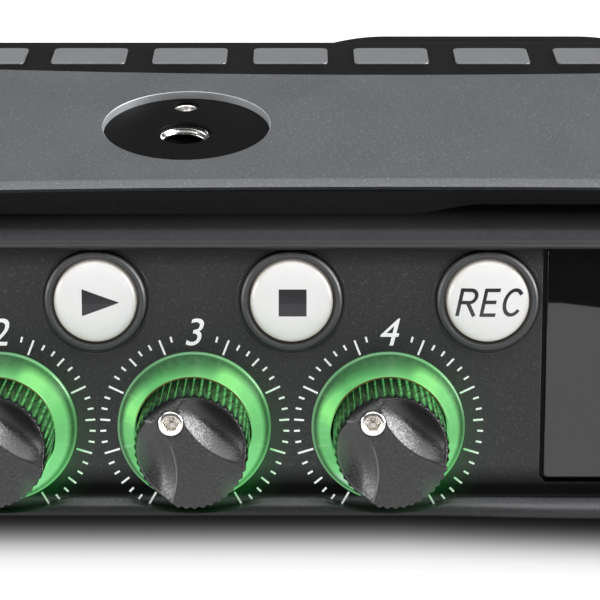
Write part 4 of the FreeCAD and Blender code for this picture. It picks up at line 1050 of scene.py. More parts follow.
# --------------------------------------------------------------- light rings
ring_prof = soften([(6.46, -1.5), (7.15, -1.5), (7.15, 0.0), (8.5, 0.0), (8.5, 0.3), (8.34, 0.5), (8.22, 0.42), (8.1, 0.74), (7.86, 1.25), (7.48, 2.05), (7.1, 2.95), (6.84, 3.65), (6.68, 4.1), (6.46, 4.0)],
                   [0, 0, 0, 0, 0.08, 0.06, 0.03, 0.1, 0.4, 1.2, 1.6, 0.8, 0.06, 0.05], 4, True)
rv, rf = lathe(ring_prof, 256, True)
for i, kx in enumerate(KNOB_X, 1):
    make("light_ring_%d" % i, rv, rf, m_ring, "housing", at_panel(kx - 0.05, 0), "light_rings", slot="ring_green", local=True, angle=50)


# --------------------------------------------------------------------- knobs
HOLLOW_S = np.linspace(0.0, 9.0, 181)
_slope = np.interp(HOLLOW_S, [0.0, 1.1, 2.3, 9.0], [1.05, 1.0, 0.34, 0.16])
HOLLOW_D = np.concatenate([[0.0], np.cumsum((_slope[1:] + _slope[:-1]) / 2 * np.diff(HOLLOW_S))])


def knob_field(px, py, pz):
    th = np.arctan2(py, px)
    r = np.hypot(px, py)
    hollows = []
    for cx, cy, rc in ((-9.17, 3.3, 8.0), (10.5, 2.4, 9.25)):
        s_ = rc - np.hypot(px - cx, py - cy)
        depth = np.where(s_ > 0, np.interp(s_, HOLLOW_S, HOLLOW_D), 1.05 * s_)
        shut = np.clip((r - 2.9) / 3.15, 0.0, 1.0)
        depth = np.where(s_ > 0, depth * (1.0 - (0.85 if cx > 0 else 0.35) * shut ** 1.6), depth)
        hollows.append((11.3 - depth - pz) * 0.78)
    far = np.clip((np.minimum(*hollows) - 0.2) / 0.5, 0.0, 1.0)
    far = far * far * (3 - 2 * far)
    tri = np.abs(2 * np.mod(21 * th / PI + 0.5, 1.0) - 1)
    R = 5.98 + far * (0.07 * (np.abs(np.cos(21 * th)) + 1e-4) ** 0.85 + 0.2 * (1 - tri) - 0.05)
    side = (r - R) * 0.9
    tip = np.maximum(py - 4.8, 0.0)
    top = (pz - (11.3 - 0.55 * tip - 0.35 * tip * tip)) * 0.9
    solid = smax(side, top, 0.1)
    solid = smax(solid, 0.8 - pz, 0.12)
    near_side = np.clip((r - 5.2) / 0.6, 0.0, 1.0)
    kk = 0.1 + 0.34 * near_side * near_side * (3 - 2 * near_side)
    for q in hollows:
        solid = smax(solid, -q, kk)
    hole = np.maximum(np.hypot(px - SCREW_X, py - SCREW_U) - 1.4, 7.9 - pz)
    solid = smax(solid, -hole, 0.08)
    bore = np.maximum(r - 3.06, pz - 7.6)
    return np.maximum(solid, -bore)


knob_data = None
hex_r = lambda a: 0.75 / math.cos((a + PI / 6) % (PI / 3) - PI / 6)


def socket_screw(r, z0, z1, af, depth, seg=96, ch=0.14):
    """Cylinder head with a hexagon socket."""
    hexagon = lambda a, rr_, zz_: (af / 2) / math.cos((a + PI / 6) % (PI / 3) - PI / 6) * rr_
    outer_ = [(0.0, z0), (r - 0.05, z0), (r, z0 + 0.05), (r, z1 - ch), (r - 0.3 * ch, z1 - 0.35 * ch), (r - ch, z1)]
    v1, f1 = lathe(outer_, seg)
    v2, f2 = lathe([(1.06, z1), (1.0, z1 - 0.05), (1.0, z1 - depth)], seg, False, hexagon)
    v3, f3 = lathe([(1.0, z1 - depth), (0.5, z1 - depth - 0.25), (0.0, z1 - depth - 0.4)], seg, False, hexagon)
    o1, o2 = len(v1), len(v1) + len(v2)
    faces = list(f1)
    last = len(v1) - seg
    for i in range(seg):
        j = (i + 1) % seg
        faces.append((last + i, o1 + i, o1 + j, last + j))
    faces += [tuple(q + o1 for q in p) for p in f2] + [tuple(q + o2 for q in p) for p in f3]
    return list(v1) + list(v2) + list(v3), faces


sv, sf = socket_screw(1.36, 7.95, 11.34, 1.5, 1.5, ch=0.2)
for i, kx in enumerate(KNOB_X, 1):
    ob, knob_data = make_nets("knob_body_%d" % i, knob_field, (-6.6, -6.6, 0.4), (6.6, 6.6, 11.8), 0.105, m_knob, "knob_%d" % i, at_panel(kx, 0, 0, POINTER), "knob_%d" % i, knob_data)
    make("knob_set_screw_%d" % i, sv, sf, m_steel, "knob_%d" % i, at_panel(kx, 0, 0, POINTER) @ Matrix.Translation((SCREW_X, SCREW_U, 0)), "knob_screw_%d" % i, slot="steel", local=True, angle=40)
    make("knob_stem_%d" % i, *lathe(soften([(0, -6.3), (1.6, -6.3), (1.6, -5.9), (3.0, -5.9), (3.0, 7.3), (0, 7.3)], 0.12, 3), 96), m_steel, "shaft_%d" % i, at_panel(kx, 0), "knob_shaft_%d" % i, slot="steel", local=True)

# ------------------------------------------------------------------- buttons
cap_prof = [(0.0, -3.7), (1.6, -3.7), (1.6, -0.8), (4.45, -0.8), (4.55, -0.7), (4.55, 0.5), (4.53, 0.66), (4.47, 0.8), (4.35, 0.95), (4.15, 1.09), (3.9, 1.19), (3.5, 1.28), (3.0, 1.36), (2.3, 1.43), (1.6, 1.475), (0.8, 1.5), (0.0, 1.51)]
cap_r = np.array([p[0] for p in cap_prof[5:]][::-1])
cap_z = np.array([p[1] for p in cap_prof[5:]][::-1])
dome = lambda a, b: float(np.interp(math.hypot(a, b), cap_r, cap_z))
bezel_prof = soften([(4.64, -2.2), (6.5, -2.2), (6.5, -1.66), (5.6, -1.66), (5.6, 0.42), (5.5, 0.72), (5.25, 0.92), (4.98, 0.9), (4.72, 0.55), (4.64, 0.2)], [0, 0, 0, 0, 0.1, 0.15, 0.2, 0.2, 0.2, 0.1], 4, True)
for nm, bname, bx in zip(("play", "stop", "record"), ("play_button", "stop_button", "record_button"), BUTTON_X):
    make(nm + "_cap", *lathe(cap_prof, 160), m_cap, bname, at_panel(bx, ROW_U), bname, slot="button_white", local=True, angle=40)
    make(nm + "_bead", *lathe(soften([(5.9, -0.3), (6.03, -0.3), (6.06, -0.02), (6.02, 0.04), (5.96, 0.06), (5.89, 0.02)], [0, 0, 0.02, 0.02, 0.03, 0.02], 4, True), 192, True), m_bead, "housing", at_panel(bx, ROW_U), slot="bezel_dark", local=True, angle=60)
    make(nm + "_bezel", *lathe(bezel_prof, 192, True), m_bezel, "housing", at_panel(bx, ROW_U), "button_bezels", slot="bezel_dark", local=True, angle=50)
tri = soften([(-1.4, -1.5), (2.7, 0.0), (-1.4, 1.5)], 0.03, 2, True)
for nm, bname, bx, pts in (("play", "play_button", BUTTON_X[0], tri), ("stop", "stop_button", BUTTON_X[1], rect(-1.4, 1.64, -1.53, 1.47, 0.04, 2))):
    v, f = refine([(a, b, 0.0) for a, b in pts], [tuple(range(len(pts)))], 0.35)
    make(nm + "_symbol", *skin(v, f, dome), m_symbol, bname, at_panel(bx, ROW_U), slot="bezel_dark", angle=50)
W_ = 16.0
arc = lambda cx, cy, rx, ry, a0, a1, n: [(cx + rx * math.cos(math.radians(a0 + (a1 - a0) * i / n)), cy + ry * math.sin(math.radians(a0 + (a1 - a0) * i / n))) for i in range(n + 1)]
strokes = [
    [(78, 0), (78, 124)], [(72, 118), (118, 118)] + arc(118, 90, 27, 28, 88, -88, 12) + [(118, 62), (72, 62)], [(112, 62), (152, 0)],
    [(184, 0), (184, 124)], [(178, 118), (246, 118)], [(178, 64), (238, 64)], [(178, 6), (246, 6)],
    arc(314, 62, 38, 56, 38, 322, 28)]
word = []
for line in strokes:
    pts = np.array(line)
    tan = np.gradient(pts, axis=0)
    tan /= np.linalg.norm(tan, axis=1)[:, None]
    nor = np.stack([-tan[:, 1], tan[:, 0]], axis=1) * (W_ / 2)
    quad = np.concatenate([pts + nor, pts - nor])
    quad[:, 0] += 0.2 * quad[:, 1]
    quad = (quad - (226.4, 62.0)) * 0.02468
    n = len(pts)
    v, f = refine([(a, b, 0.0) for a, b in quad], [(i, i + n, i + n + 1, i + 1) for i in range(n - 1)], 0.35)
    word.append(skin(v, f, lambda a, b: dome(a + 0.25, b)))
make("record_word", *join(*word), m_symbol, "record_button", at_panel(BUTTON_X[2] + 0.25, ROW_U), slot="bezel_dark", angle=50)

# -------------------------------------------------------------------- toggle
body_prof = soften([(1.4, -1.8), (2.65, -1.8), (2.65, 1.5), (2.25, 1.5), (2.0, 1.1)], 0.1, 3, True)
make("toggle_bush", *lathe(body_prof, 96, True), m_nickel, "housing", at_panel(TOGGLE_X, ROW_U), slot="steel", local=True)
hexm = lambda a, rr_, zz_: rr_ / math.cos((a + PI / 6) % (PI / 3) - PI / 6) if rr_ > 2.9 else rr_
make("toggle_nut", *lathe([(2.66, 0.05), (3.3, 0.05), (3.3, 0.95), (3.12, 1.1), (2.66, 1.1)], 96, True, hexm), m_nickel, "housing", at_panel(TOGGLE_X, ROW_U), slot="steel", local=True)
ob = make("toggle_base", *block(-4, 4, -3.5, 3.5, -7.8, -4.7), m_module, "housing", at_panel(TOGGLE_X, ROW_U), "switch_bodies", slot="steel")
bevelled(ob, 0.2, 2)
lev = catmull([(0.0, -1.75), (1.0, -1.45), (1.6, -0.72), (1.75, 0.0), (1.45, 0.75), (0.82, 1.15), (0.84, 2.2), (0.95, 4.5), (1.08, 6.8), (1.15, 8.0), (1.16, 8.7), (1.02, 9.3), (0.6, 9.85), (0.0, 10.0)], 5)
make("toggle_stick", *lathe([(max(0.0, a), b) for a, b in lev], 96), m_chrome, "toggle", at_panel(TOGGLE_X, ROW_U, -2.6), "toggle_lever", slot="lever_chrome", local=True, angle=60)


# ----------------------------------------------------------------- top plate
def plate_front(x_, grow=0.0):
    return 15.6 - grow - 2.6 * (x_ / 79.2) ** 2


def plate_rear(x_, grow=0.0):
    return 46.5 + grow + 4.6 * (x_ / 79.2) ** 2


CUP = (-24.45, 31.5)
THREAD = (CUP[0] - 0.2, CUP[1] - 0.3)
PIN = (CUP[0] - 0.4, CUP[1] + 7.5)
sections = []
for i in range(161):
    xx = -79.2 + 158.4 * i / 160
    e_ = 1.0 - min(1.0, (79.2 - abs(xx)) / 0.6)
    drop_ = 0.25 * e_ * e_
    yf, yr = plate_front(xx), plate_rear(xx)
    pts = [(yf + 0.95, 35.0), (yf + 0.12, 35.7 - drop_), (yf + 0.03, 35.77 - drop_), (yf, 35.81 - drop_), (yf + 0.05, 35.86 - drop_), (yf + 0.18, 35.9 - drop_), (yf + 1.3, 36.165 - drop_), (yf + 1.5, 36.2 - drop_), (yf + 6, 36.2 - drop_), (yr - 6, 36.2 - drop_), (yr - 0.3, 36.2 - drop_), (yr - 0.1, 36.14 - drop_), (yr, 36.0 - drop_), (yr, 35.0)]
    sections.append((xx, pts))
pv, pfaces = loft_x(sections)
ob = make("top_plate_sheet", pv, pfaces, m_plate, "housing", replaces="top_plate", slot="plate_grey", more=[m_bare])
cutter = make("cut_cup", *lathe([(0, 34.0), (9.62, 34.0), (9.62, 35.1), (9.68, 36.14), (9.75, 36.22), (9.75, 37.0), (0, 37.0)], 256), m_bare, None, at_up(CUP[0], CUP[1], 0))
cut_with(ob, [cutter], 30)
cup_prof = [(0.0, 34.0), (9.7, 34.0), (9.7, 35.23), (9.62, 35.3), (0.0, 35.3)]
ob = make("mount_cup_floor", *lathe(cup_prof, 192), m_cup, "housing", at_up(CUP[0], CUP[1], 0), "mount_cup", slot="cup_black")
cutter2 = make("cut_thread", *lathe([(0, 33.0), (2.98, 33.0), (2.98, 35.08), (3.12, 35.25), (3.12, 36.0), (0, 36.0)], 128), m_cup, None, at_up(THREAD[0], THREAD[1], 0))
cutter = make("cut_pin", *lathe([(0, 32.6), (1.45, 32.6), (1.45, 35.1), (1.6, 35.25), (1.6, 36.0), (0, 36.0)], 96), m_cup, None, at_up(PIN[0], PIN[1], 0))
cut_with(ob, [cutter, cutter2])
make("mount_pin_well", *lathe(soften([(0.0, 33.3), (0.9, 33.3), (1.22, 33.8), (1.26, 34.7), (1.44, 34.8), (1.44, 33.1), (0.0, 33.1)], [0, 0.1, 0.1, 0.05, 0.02, 0, 0], 3), 96), m_insert, "housing", at_up(PIN[0], PIN[1], 0), slot="steel", angle=50)


def threaded(r_in, r_out, z0, z1, pitch=1.27, depth=0.45, seg=96, per=8):
    """Ring with a helical thread inside."""
    verts, faces = [], []
    rows = int((z1 - z0) / pitch * per) + 1
    zz = [z0 + (z1 - z0) * i / rows for i in range(rows + 1)]
    for q in zz:
        fade_ = min(1.0, (z1 - q) / (0.4 * pitch))
        for i in range(seg):
            a = 2 * PI * i / seg
            ph = ((q / pitch) - a / (2 * PI)) % 1.0
            tooth = abs(2 * ph - 1)
            rr_ = r_in + depth * max(0.0, min(1.0, (tooth - 0.12) / 0.76)) * (0.25 + 0.75 * fade_) + 0.25 * (1 - fade_)
            verts.append((rr_ * math.cos(a), rr_ * math.sin(a), q))
    n = len(zz)
    for q in range(n - 1):
        for i in range(seg):
            j = (i + 1) % seg
            faces.append((q * seg + i, q * seg + j, (q + 1) * seg + j, (q + 1) * seg + i))
    o = len(verts)
    for r_, q in ((r_out - 0.1, z1), (r_out, z1 - 0.1), (r_out, z0)):
        verts += [(r_ * math.cos(2 * PI * i / seg), r_ * math.sin(2 * PI * i / seg), q) for i in range(seg)]
    loops = [(n - 1) * seg, o, o + seg, o + 2 * seg, 0]
    for a, b in zip(loops, loops[1:]):
        for i in range(seg):
            j = (i + 1) % seg
            faces.append((a + i, a + j, b + j, b + i))
    return verts, faces


make("top_thread_ring", *threaded(2.5, 2.96, 33.75, 34.95), m_insert, "housing", at_up(THREAD[0], THREAD[1], 0), "top_thread_insert", slot="steel", angle=60)
# the thread's lower turns are a black sleeve: painted shade below the metal upper turn
make("top_thread_sleeve", *threaded(2.5, 2.96, 29.0, 33.74), m_thread_shade, "housing", at_up(THREAD[0], THREAD[1], 0), slot="cup_black", angle=60)

# ----------------------------------------------------------------- top shell
sections = []
shell_xs = sorted(set([-78.0, -77.9] + [round(-78 + 2.0 * i, 2) for i in range(79)] + [0.5 + 0.5 * i for i in range(18)] + [77.9, 78.0]))
for xx in shell_xs:
    wy = wall_y(xx)
    yr = plate_rear(xx, 0.1)
    t_ = (yr - 46.9) / (62.75 - 46.9)
    band = lambda y_: 35.77 + (y_ - 46.9) * (33.83 - 35.77) / (62.75 - 46.9)
    step_y = max(46.9, yr)
    pts = [(wy, shelf_z(wy) + 0.04), (wy, 34.85), (wy + 0.15, 35.0), (wy + 3.0, 35.0), (step_y, 35.0), (step_y, band(step_y) - 0.12), (step_y + 0.12, band(step_y))]
    pts += soften([(step_y + 0.12, band(step_y)), (62.75, 33.83), (72.0, 24.0), (72.0, 23.0)], [0, 1.6, 1.2, 0], 6)[1:]
    pts += [(70.6, 23.0), (70.6, 23.4), (62.05, 32.45), (50.0, 33.8), (wy + 1.4, 33.8), (wy + 1.4, shelf_z(wy + 1.4) + 0.04)]
    sections.append((xx, pts))
ob = make("top_shell_deck", *loft_x(sections), m_shell, "housing", replaces=("top_shell", "rear_cover"), angle=50, slot="shell_black")
c1 = make("cut_door", *block(-18.55, 43.55, 62.95, 80, 20, 40), m_shell, None)
c2 = make("cut_cup2", *lathe([(0, 30), (9.6, 30), (9.6, 40), (0, 40)], 128), m_shell, None, at_up(CUP[0], CUP[1], 0))
c3 = make("cut_door2", *block(-17.0, 42.0, 60.0, 80, 20, 32.45), m_shell, None)
cut_with(ob, [c1, c2, c3], 35)

# plain raised pads on the rear band
pads = []
bz = lambda y_: 35.77 + (y_ - 46.9) * (33.83 - 35.77) / (62.75 - 46.9)
tilt = math.atan((33.83 - 35.77) / (62.75 - 46.9))
for i in range(11):
    cx = -62.5 + 12.5 * i
    slab("band_pad_%02d" % (i + 1), rect(-4.6, 4.6, -3.55, 3.55, 0.8, 5), [], -0.05, 0.28, 0.12, m_grey_pad, "housing", M_DESIGN @ Matrix.Translation((cx, 55.25, bz(55.25))) @ Matrix.Rotation(tilt, 4, "X"))

# --------------------------------------------------------------- side panels
JACK_Y, JACK_Z = [30.0, 56.0], 17.9
MINI = {"headphone": (1, 14.5, 21.2), "line_out": (1, 16.7, 27.7), "line_in": (-1, 16.7, 27.7)}
ENC_Y, ENC_Z = 13.0, 9.8
PWR_Y, PWR_Z0, PWR_Z1 = 14.2, 12.6, 20.8
SIDE_SCREWS = [(43.0, 31.0), (43.0, 4.9), (67.0, 3.9)]
for s, side_name in ((-1, "left"), (1, "right")):
    wy = wall_y(s * 78.0)
    line = [(8.6, 0.9), (8.6, foot_rear[1] + 0.05), (foot_rear[0] + 1.15, foot_rear[1] + 0.05), (14.02, shelf_z(14.0)), (wy, shelf_z(wy)), (wy, 34.98), (46.9, 34.98), (51.2, 34.98), (51.2, 35.24), (62.75, 33.83), (72.0, 24.0), (72.0, 0.9)]
    pts = soften(line, [0, 0, 0, 0.3, 0, 0, 0, 0, 0.2, 1.6, 1.2, 1.6], 6, True)
    flip = (lambda q: [(-a, b) for a, b in q][::-1]) if s < 0 else (lambda q: q)
    hl = [circle(11.9, y_, JACK_Z, 160) for y_ in JACK_Y] + [circle(3.15, my, mz, 64) for ms, my, mz in MINI.values() if ms == s]
    hl.append(circle(3.65, ENC_Y, ENC_Z, 64) if s > 0 else rect(PWR_Y - 1.45, PWR_Y + 1.45, PWR_Z0, PWR_Z1, 0.4, 4))
    hl += [circle(1.35, a, b, 48) for a, b in SIDE_SCREWS]
    # local x is +Y on the right side and -Y on the left, local y is Z, local z points outwards
    slab("side_sheet_" + side_name, flip(pts), [flip(h) for h in hl], -1.98, 0.0, 0.45, m_shell, "housing", at_side(s, s * 80.0, 0, 0), side_name + "_side_panel", seg=4)


def head_screw(r, h, af):
    return socket_screw(r, -1.2, h, af, 0.42, 64, 0.22)


screw_parts = []
for s in (-1, 1):
    for a, b in SIDE_SCREWS:
        screw_parts.append(moved(head_screw(2.2, 0.35, 1.4), M_DESIGN.inverted() @ at_side(s, s * 79.85, a, b)))
BOTTOM_SCREWS = [(-60.0, 40.0), (60.0, 40.0), (-8.0, 13.0), (40.0, 20.0), (-48.0, 13.0), (60.0, 66.0), (-60.0, 66.0)]
for a, b in BOTTOM_SCREWS:
    screw_parts.append(moved(head_screw(2.2, 0.0, 1.4), M_DESIGN.inverted() @ at_down(a, b, 1.0)))
make("case_screw_set", *join(*screw_parts), m_steel, "housing", replaces="case_screws", slot="steel", angle=40)

# --------------------------------------------------------------- input jacks
JACKS = ((1, -1, JACK_Y[0]), (2, -1, JACK_Y[1]), (3, 1, JACK_Y[0]), (4, 1, JACK_Y[1]))
jack_prof = soften([(3.2, -28.0), (11.7, -32.4), (11.7, 0.4), (9.95, 0.4), (9.7, 0.1), (9.7, -14.0), (7.7, -14.0), (7.7, -1.35), (3.65, -1.35), (3.2, -1.8)],
                   [0, 0, 0.5, 0.2, 0.1, 0.2, 0.2, 0.4, 0.15, 0.15], 4, True)
for i, s, jy in JACKS:
    m_ = at_side(s, s * 80.0, jy, JACK_Z)
    ob = make("jack_shell_%d" % i, *lathe(jack_prof, 160, True), m_jack, "housing", m_, "input_jack_%d" % i, slot="jack_black")
    cutters = []
    for a_deg in (90, 210, 330):
        px_, py_ = 5.45 * math.cos(math.radians(a_deg)), -5.45 * math.sin(math.radians(a_deg))
        cutters.append(make("c", *lathe([(0, -14.0), (1.35, -14.0), (1.35, -1.45), (1.6, -1.2), (1.6, 2.0), (0, 2.0)], 48), m_jack, None, m_ @ Matrix.Translation((px_, py_, 0))))
    cutters.append(make("c", *block(-3.1, 3.1, 8.9, 11.0, -8.0, 5.0), m_jack, None, m_))
    cut_with(ob, cutters, 40)
    pins = []
    for a_deg in (90, 210, 330):
        px_, py_ = 5.45 * math.cos(math.radians(a_deg)), -5.45 * math.sin(math.radians(a_deg))
        pins.append(moved(lathe(soften([(0.85, -13.5), (1.25, -13.5), (1.25, -4.2), (0.85, -4.2)], 0.08, 2, True), 32, True), Matrix.Translation((px_, py_, 0))))
    make("jack_contacts_%d" % i, *join(*pins), m_gold, "housing", m_, slot="steel")
    tv, tf_ = block(-2.9, 2.9, 9.25, 10.65, -5.8, 1.3)
    ob = make("jack_tab_%d" % i, tv, tf_, m_tab, "latch_tab_%d" % i, m_, "latch_tab_%d" % i, slot="tab_steel")
    bevelled(ob, 0.3, 3)
    label("jack_number_%d" % i, str(i), 2.4, at_side(s, s * 80.0, jy + (-13.0 if jy < 40 else 13.2), 30.3 if jy > 40 else 31.0), m_white, "housing", italic=0.2, weight=0.01, slot="button_white")
for nm, (s, my, mz) in MINI.items():
    prof_ = soften([(1.8, -11.5), (3.05, -12.5), (3.05, 0.3), (2.25, 0.3), (1.8, 0.0)], [0, 0, 0.2, 0.1, 0.1], 3, True)
    make("minijack_" + nm, *lathe(prof_, 96, True), m_jack, "housing", at_side(s, s * 80.0, my, mz), "minijacks", slot="jack_black")
    make("minijack_ring_" + nm, *lathe(soften([(1.86, -0.9), (2.3, -0.9), (2.3, -0.28), (1.86, -0.28)], 0.05, 2, True), 96, True), m_nickel, "housing", at_side(s, s * 80.0, my, mz + 0.0), slot="steel")

# ------------------------------------------------------ headphone knob, power
flute = lambda a, r_, z_: r_ - (0.3 * (0.5 + 0.5 * math.cos(24 * a)) ** 1.5 if r_ > 4.9 else 0.0)
hk = soften([(3.06, 5.1), (3.06, 1.5), (3.9, 1.5), (3.9, 0.7), (5.3, 0.7), (5.3, 5.5), (4.75, 6.1), (0.8, 6.1), (0.0, 6.02)], [0.0, 0, 0, 0.1, 0.15, 0.5, 0.5, 0.3, 0], 5)
make("headphone_dial", *lathe([(0.0, 5.1)] + hk, 288, False, flute), m_knob, "headphone_turn", at_side(1, 80.0, ENC_Y, ENC_Z), "headphone_knob", slot="knob_black", local=True, angle=40)
make("headphone_dial_mark", *skin(*refine([(a, b, 0) for a, b in rect(-0.3, 0.3, 2.2, 4.4, 0.25, 4)], [tuple(range(20))], 9.0), lambda a, b: 6.1), m_white, "headphone_turn", at_side(1, 80.0, ENC_Y, ENC_Z), slot="button_white")
make("encoder_stem", *lathe(soften([(0, -7.4), (1.5, -7.4), (1.5, -7.2), (3.0, -7.2), (3.0, 5.0), (0, 5.0)], 0.1, 2), 96), m_steel, "headphone_push", at_side(1, 80.0, ENC_Y, ENC_Z), "encoder_shaft", slot="steel", local=True)

pw = [block(-1.3, 1.3, PWR_Z0 + 0.3, PWR_Z0 + 4.1, -1.78, 0.62)]
for q in range(4):
    zq = PWR_Z0 + 0.75 + 0.97 * q
    pw.append(block(-1.2, 1.2, zq - 0.24, zq + 0.24, 0.5, 1.0))
pw.append(block(-0.85, 0.85, PWR_Z0 + 0.9, PWR_Z0 + 3.5, -4.4, -1.7))
ob = make("power_slide_cap", *join(*pw), m_latch, "power_slider", at_side(-1, -80.0, PWR_Y, 0), "power_slider", slot="latch_grey")
bevelled(ob, 0.13, 3)
pb = make("power_switch_can", *block(-77.7, -76.2, PWR_Y - 2.6, PWR_Y + 2.6, PWR_Z0 - 1.0, PWR_Z0 + 0.2), m_jack, "housing", slot="jack_black")
bevelled(pb, 0.15, 2)
pb = make("power_switch_frame", *join(block(-77.7, -75.6, PWR_Y - 2.6, PWR_Y - 1.05, PWR_Z0 + 0.2, PWR_Z1 - 0.2), block(-77.7, -75.6, PWR_Y + 1.05, PWR_Y + 2.6, PWR_Z0 + 0.2, PWR_Z1 - 0.2), block(-77.7, -75.6, PWR_Y - 2.6, PWR_Y + 2.6, PWR_Z1 - 0.2, PWR_Z1 + 1.0), block(-75.4, -73.4, PWR_Y - 2.6, PWR_Y + 2.6, PWR_Z0 - 1.0, PWR_Z1 + 1.0)), m_jack, "housing", slot="jack_black")
bevelled(pb, 0.12, 2)
label("power_word", "ON", 1.5, at_side(-1, -80.0, PWR_Y, PWR_Z1 + 1.6), m_white, "housing", weight=0.01, slot="button_white")
label("power_word_off", "OFF", 1.5, at_side(-1, -80.0, PWR_Y, PWR_Z0 - 1.7), m_white, "housing", weight=0.01, slot="button_white")

# ------------------------------------------------------------- battery drawer
PX, DOOR_X0, DOOR_X1 = 12.5, -18.4, 43.4
ob = make("drawer_tray", *join(block(-16.6, 41.6, 31.5, 69.0, 2.6, 3.4), block(-16.6, -15.4, 31.5, 62.0, 2.6, 20.5), block(40.4, 41.6, 31.5, 62.0, 2.6, 20.5), block(-16.6, 41.6, 31.5, 32.6, 2.6, 20.5), block(-16.6, 41.6, 61.6, 63.4, 2.6, 31.2), block(-15.6, 40.6, 68.0, 71.0, 2.6, 6.0)), m_latch, "battery_drawer", replaces="battery_tray", slot="door_gloss")
door = [(63.1, 33.40), (72.0, 24.0), (72.0, 0.95), (70.7, 0.95), (70.7, 23.4), (63.1, 31.3)]
ob = make("drawer_door", *prism_x(soften(door, [0.2, 1.2, 0.4, 0, 0, 0], 6, True), DOOR_X0, DOOR_X1), m_shell, "battery_drawer", slot="door_gloss")
bevelled(ob, 0.25, 3)


def pod_field(px, py, pz):
    dx = np.maximum(np.abs(px - PX) - 12.5, 0.0)
    arch = 27.0 - np.sqrt(np.maximum(27.0 ** 2 - dx * dx, 1.0))
    top = (pz - (32.5 - (py - 63.7) * math.tan(math.radians(12.3)) - arch)) * 0.93
    side_ = np.abs(px - PX) - 24.5
    rear_ = py - 77.6
    low = 4.8 - pz
    k1 = smax(rear_, top, 5.5)
    k1 = smax(k1, low, 3.5)
    k1 = smax(k1, side_, 1.6)
    n1 = ((72.0 - 63.1) * (pz - 33.0) + (33.0 - 24.0) * (py - 63.1)) / math.hypot(8.9, 9.0)
    k1 = np.maximum(k1, np.maximum(-(n1 + 0.8), -9.0))
    k1 = np.where(pz < 24.0, np.maximum(k1, 71.2 - py), k1)
    slot_ = np.maximum.reduce([np.abs(px - PX) - 8.2, np.abs(pz - 11.0) - 2.4, 73.2 - py])
    return smax(k1, -slot_, 0.35)


make_nets("drawer_pod", pod_field, (-13.4, 62.0, 3.6), (38.4, 78.6, 33.6), 0.38, m_door, "battery_drawer", M_DESIGN)
lt = join(block(PX - 7.9, PX + 7.9, 73.5, 76.3, 8.9, 11.4), block(PX - 4, PX + 4, 76.2, 76.9, 9.3, 9.75), block(PX - 4, PX + 4, 76.2, 76.9, 10.1, 10.55))
ob = make("drawer_latch", *lt, m_latch, "battery_latch", replaces="battery_latch", slot="latch_grey")
bevelled(ob, 0.2, 2)
cells = []
for cy in (39.9, 54.3):
    for cz in (10.6, 24.9):
        prof_ = soften([(0, 0), (6.2, 0), (7.1, 0.35), (7.1, 48.6), (6.4, 49.0), (2.7, 49.0), (2.7, 50.2), (0, 50.2)], [0, 0.1, 0.3, 0.3, 0.1, 0.1, 0.4, 0], 4)
        cells.append(moved(lathe(prof_, 96), Matrix.Translation((12.5 - 25.1, cy, cz)) @ Matrix.Rotation(PI / 2, 4, "Y")))
make("drawer_cells", *join(*cells), m_cell, "battery_drawer", replaces="battery_cells", slot="cell_wrap", angle=40)

# --------------------------------------------------------------- feet, bottom
feet = []
for sx in (-1, 1):
    for fy in (16.5, 62.0):
        feet.append(moved(lathe(soften([(0, 1.28), (5.0, 1.28), (5.0, 0.0), (0, 0.0)], [0, 0.05, 0.35, 0], 4), 128), Matrix.Translation((sx * 66.0, fy, 0))))
make("feet_pads", *join(*feet), m_rubber, "housing", replaces="rubber_feet", slot="rubber")
make("base_thread_ring", *threaded(2.5, 6.6, -2.45, -0.9), m_insert, "housing", at_down(0.0, 23.0, 0.0), slot="steel", angle=60)
make("base_thread_boss", *threaded(2.5, 4.6, -8.0, -2.4), m_insert, "housing", at_down(0.0, 23.0, 0.0), "bottom_thread_insert", slot="steel", angle=60)

# ----------------------------------------------- materials for the CAD pieces
carry = {
    "bottom_shell": m_shell, "rear_panels": m_shell, "battery_bay": m_jack, "display_module": m_module, "front_board": m_board, "main_board": m_board,
    "potentiometers": m_nickel, "button_switches": m_module, "usb_ports": m_nickel, "card_slot": m_nickel, "memory_card": m_card, "battery_contacts": m_nickel,
}
for name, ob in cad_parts.items():
    if not ob.hide_render:
        m_ = carry.get(name, m_shell)
        ob.data.materials.clear()
        ob.data.materials.append(m_)
        finish_mesh(ob.data, 30)

# ------------------------------------------------------------- floor and light
fl = bpy.data.meshes.new("floor")
fl.from_pydata([(-6, -6, 0), (6, -6, 0), (6, 6, 0), (-6, 6, 0)], [], [(0, 1, 2, 3)])
floor = bpy.data.objects.new("floor", fl)
bpy.context.scene.collection.objects.link(floor)
kf = Nodes("floor_paper")
q = kf.n.new("ShaderNodeSeparateXYZ")
kf.l.new(kf.co, q.inputs[0])
mx = kf.math("MULTIPLY_ADD", q.outputs[0], 1000.0, -SHIFT[0])
my_ = kf.math("MULTIPLY_ADD", q.outputs[1], 1000.0, -SHIFT[1] - 36.6)
ex = kf.math("SUBTRACT", kf.math("ABSOLUTE", mx), HALF)
swell = kf.math("MULTIPLY", kf.remap(mx, 0.0, 1.1, 0.0, 22.0), kf.remap(my_, 1.0, 0.0, -30.0, 0.0))
ey = kf.math("SUBTRACT", kf.math("SUBTRACT", kf.math("ABSOLUTE", my_), 35.3), swell)
far = kf.math("SQRT", kf.math("ADD", kf.math("POWER", kf.math("MAXIMUM", ex, 0.0), 2.0), kf.math("POWER", kf.math("MAXIMUM", ey, 0.0), 2.0)))
far = kf.math("ADD", far, kf.math("MINIMUM", kf.math("MAXIMUM", ex, ey), 0.0))
PAPER = 1.4
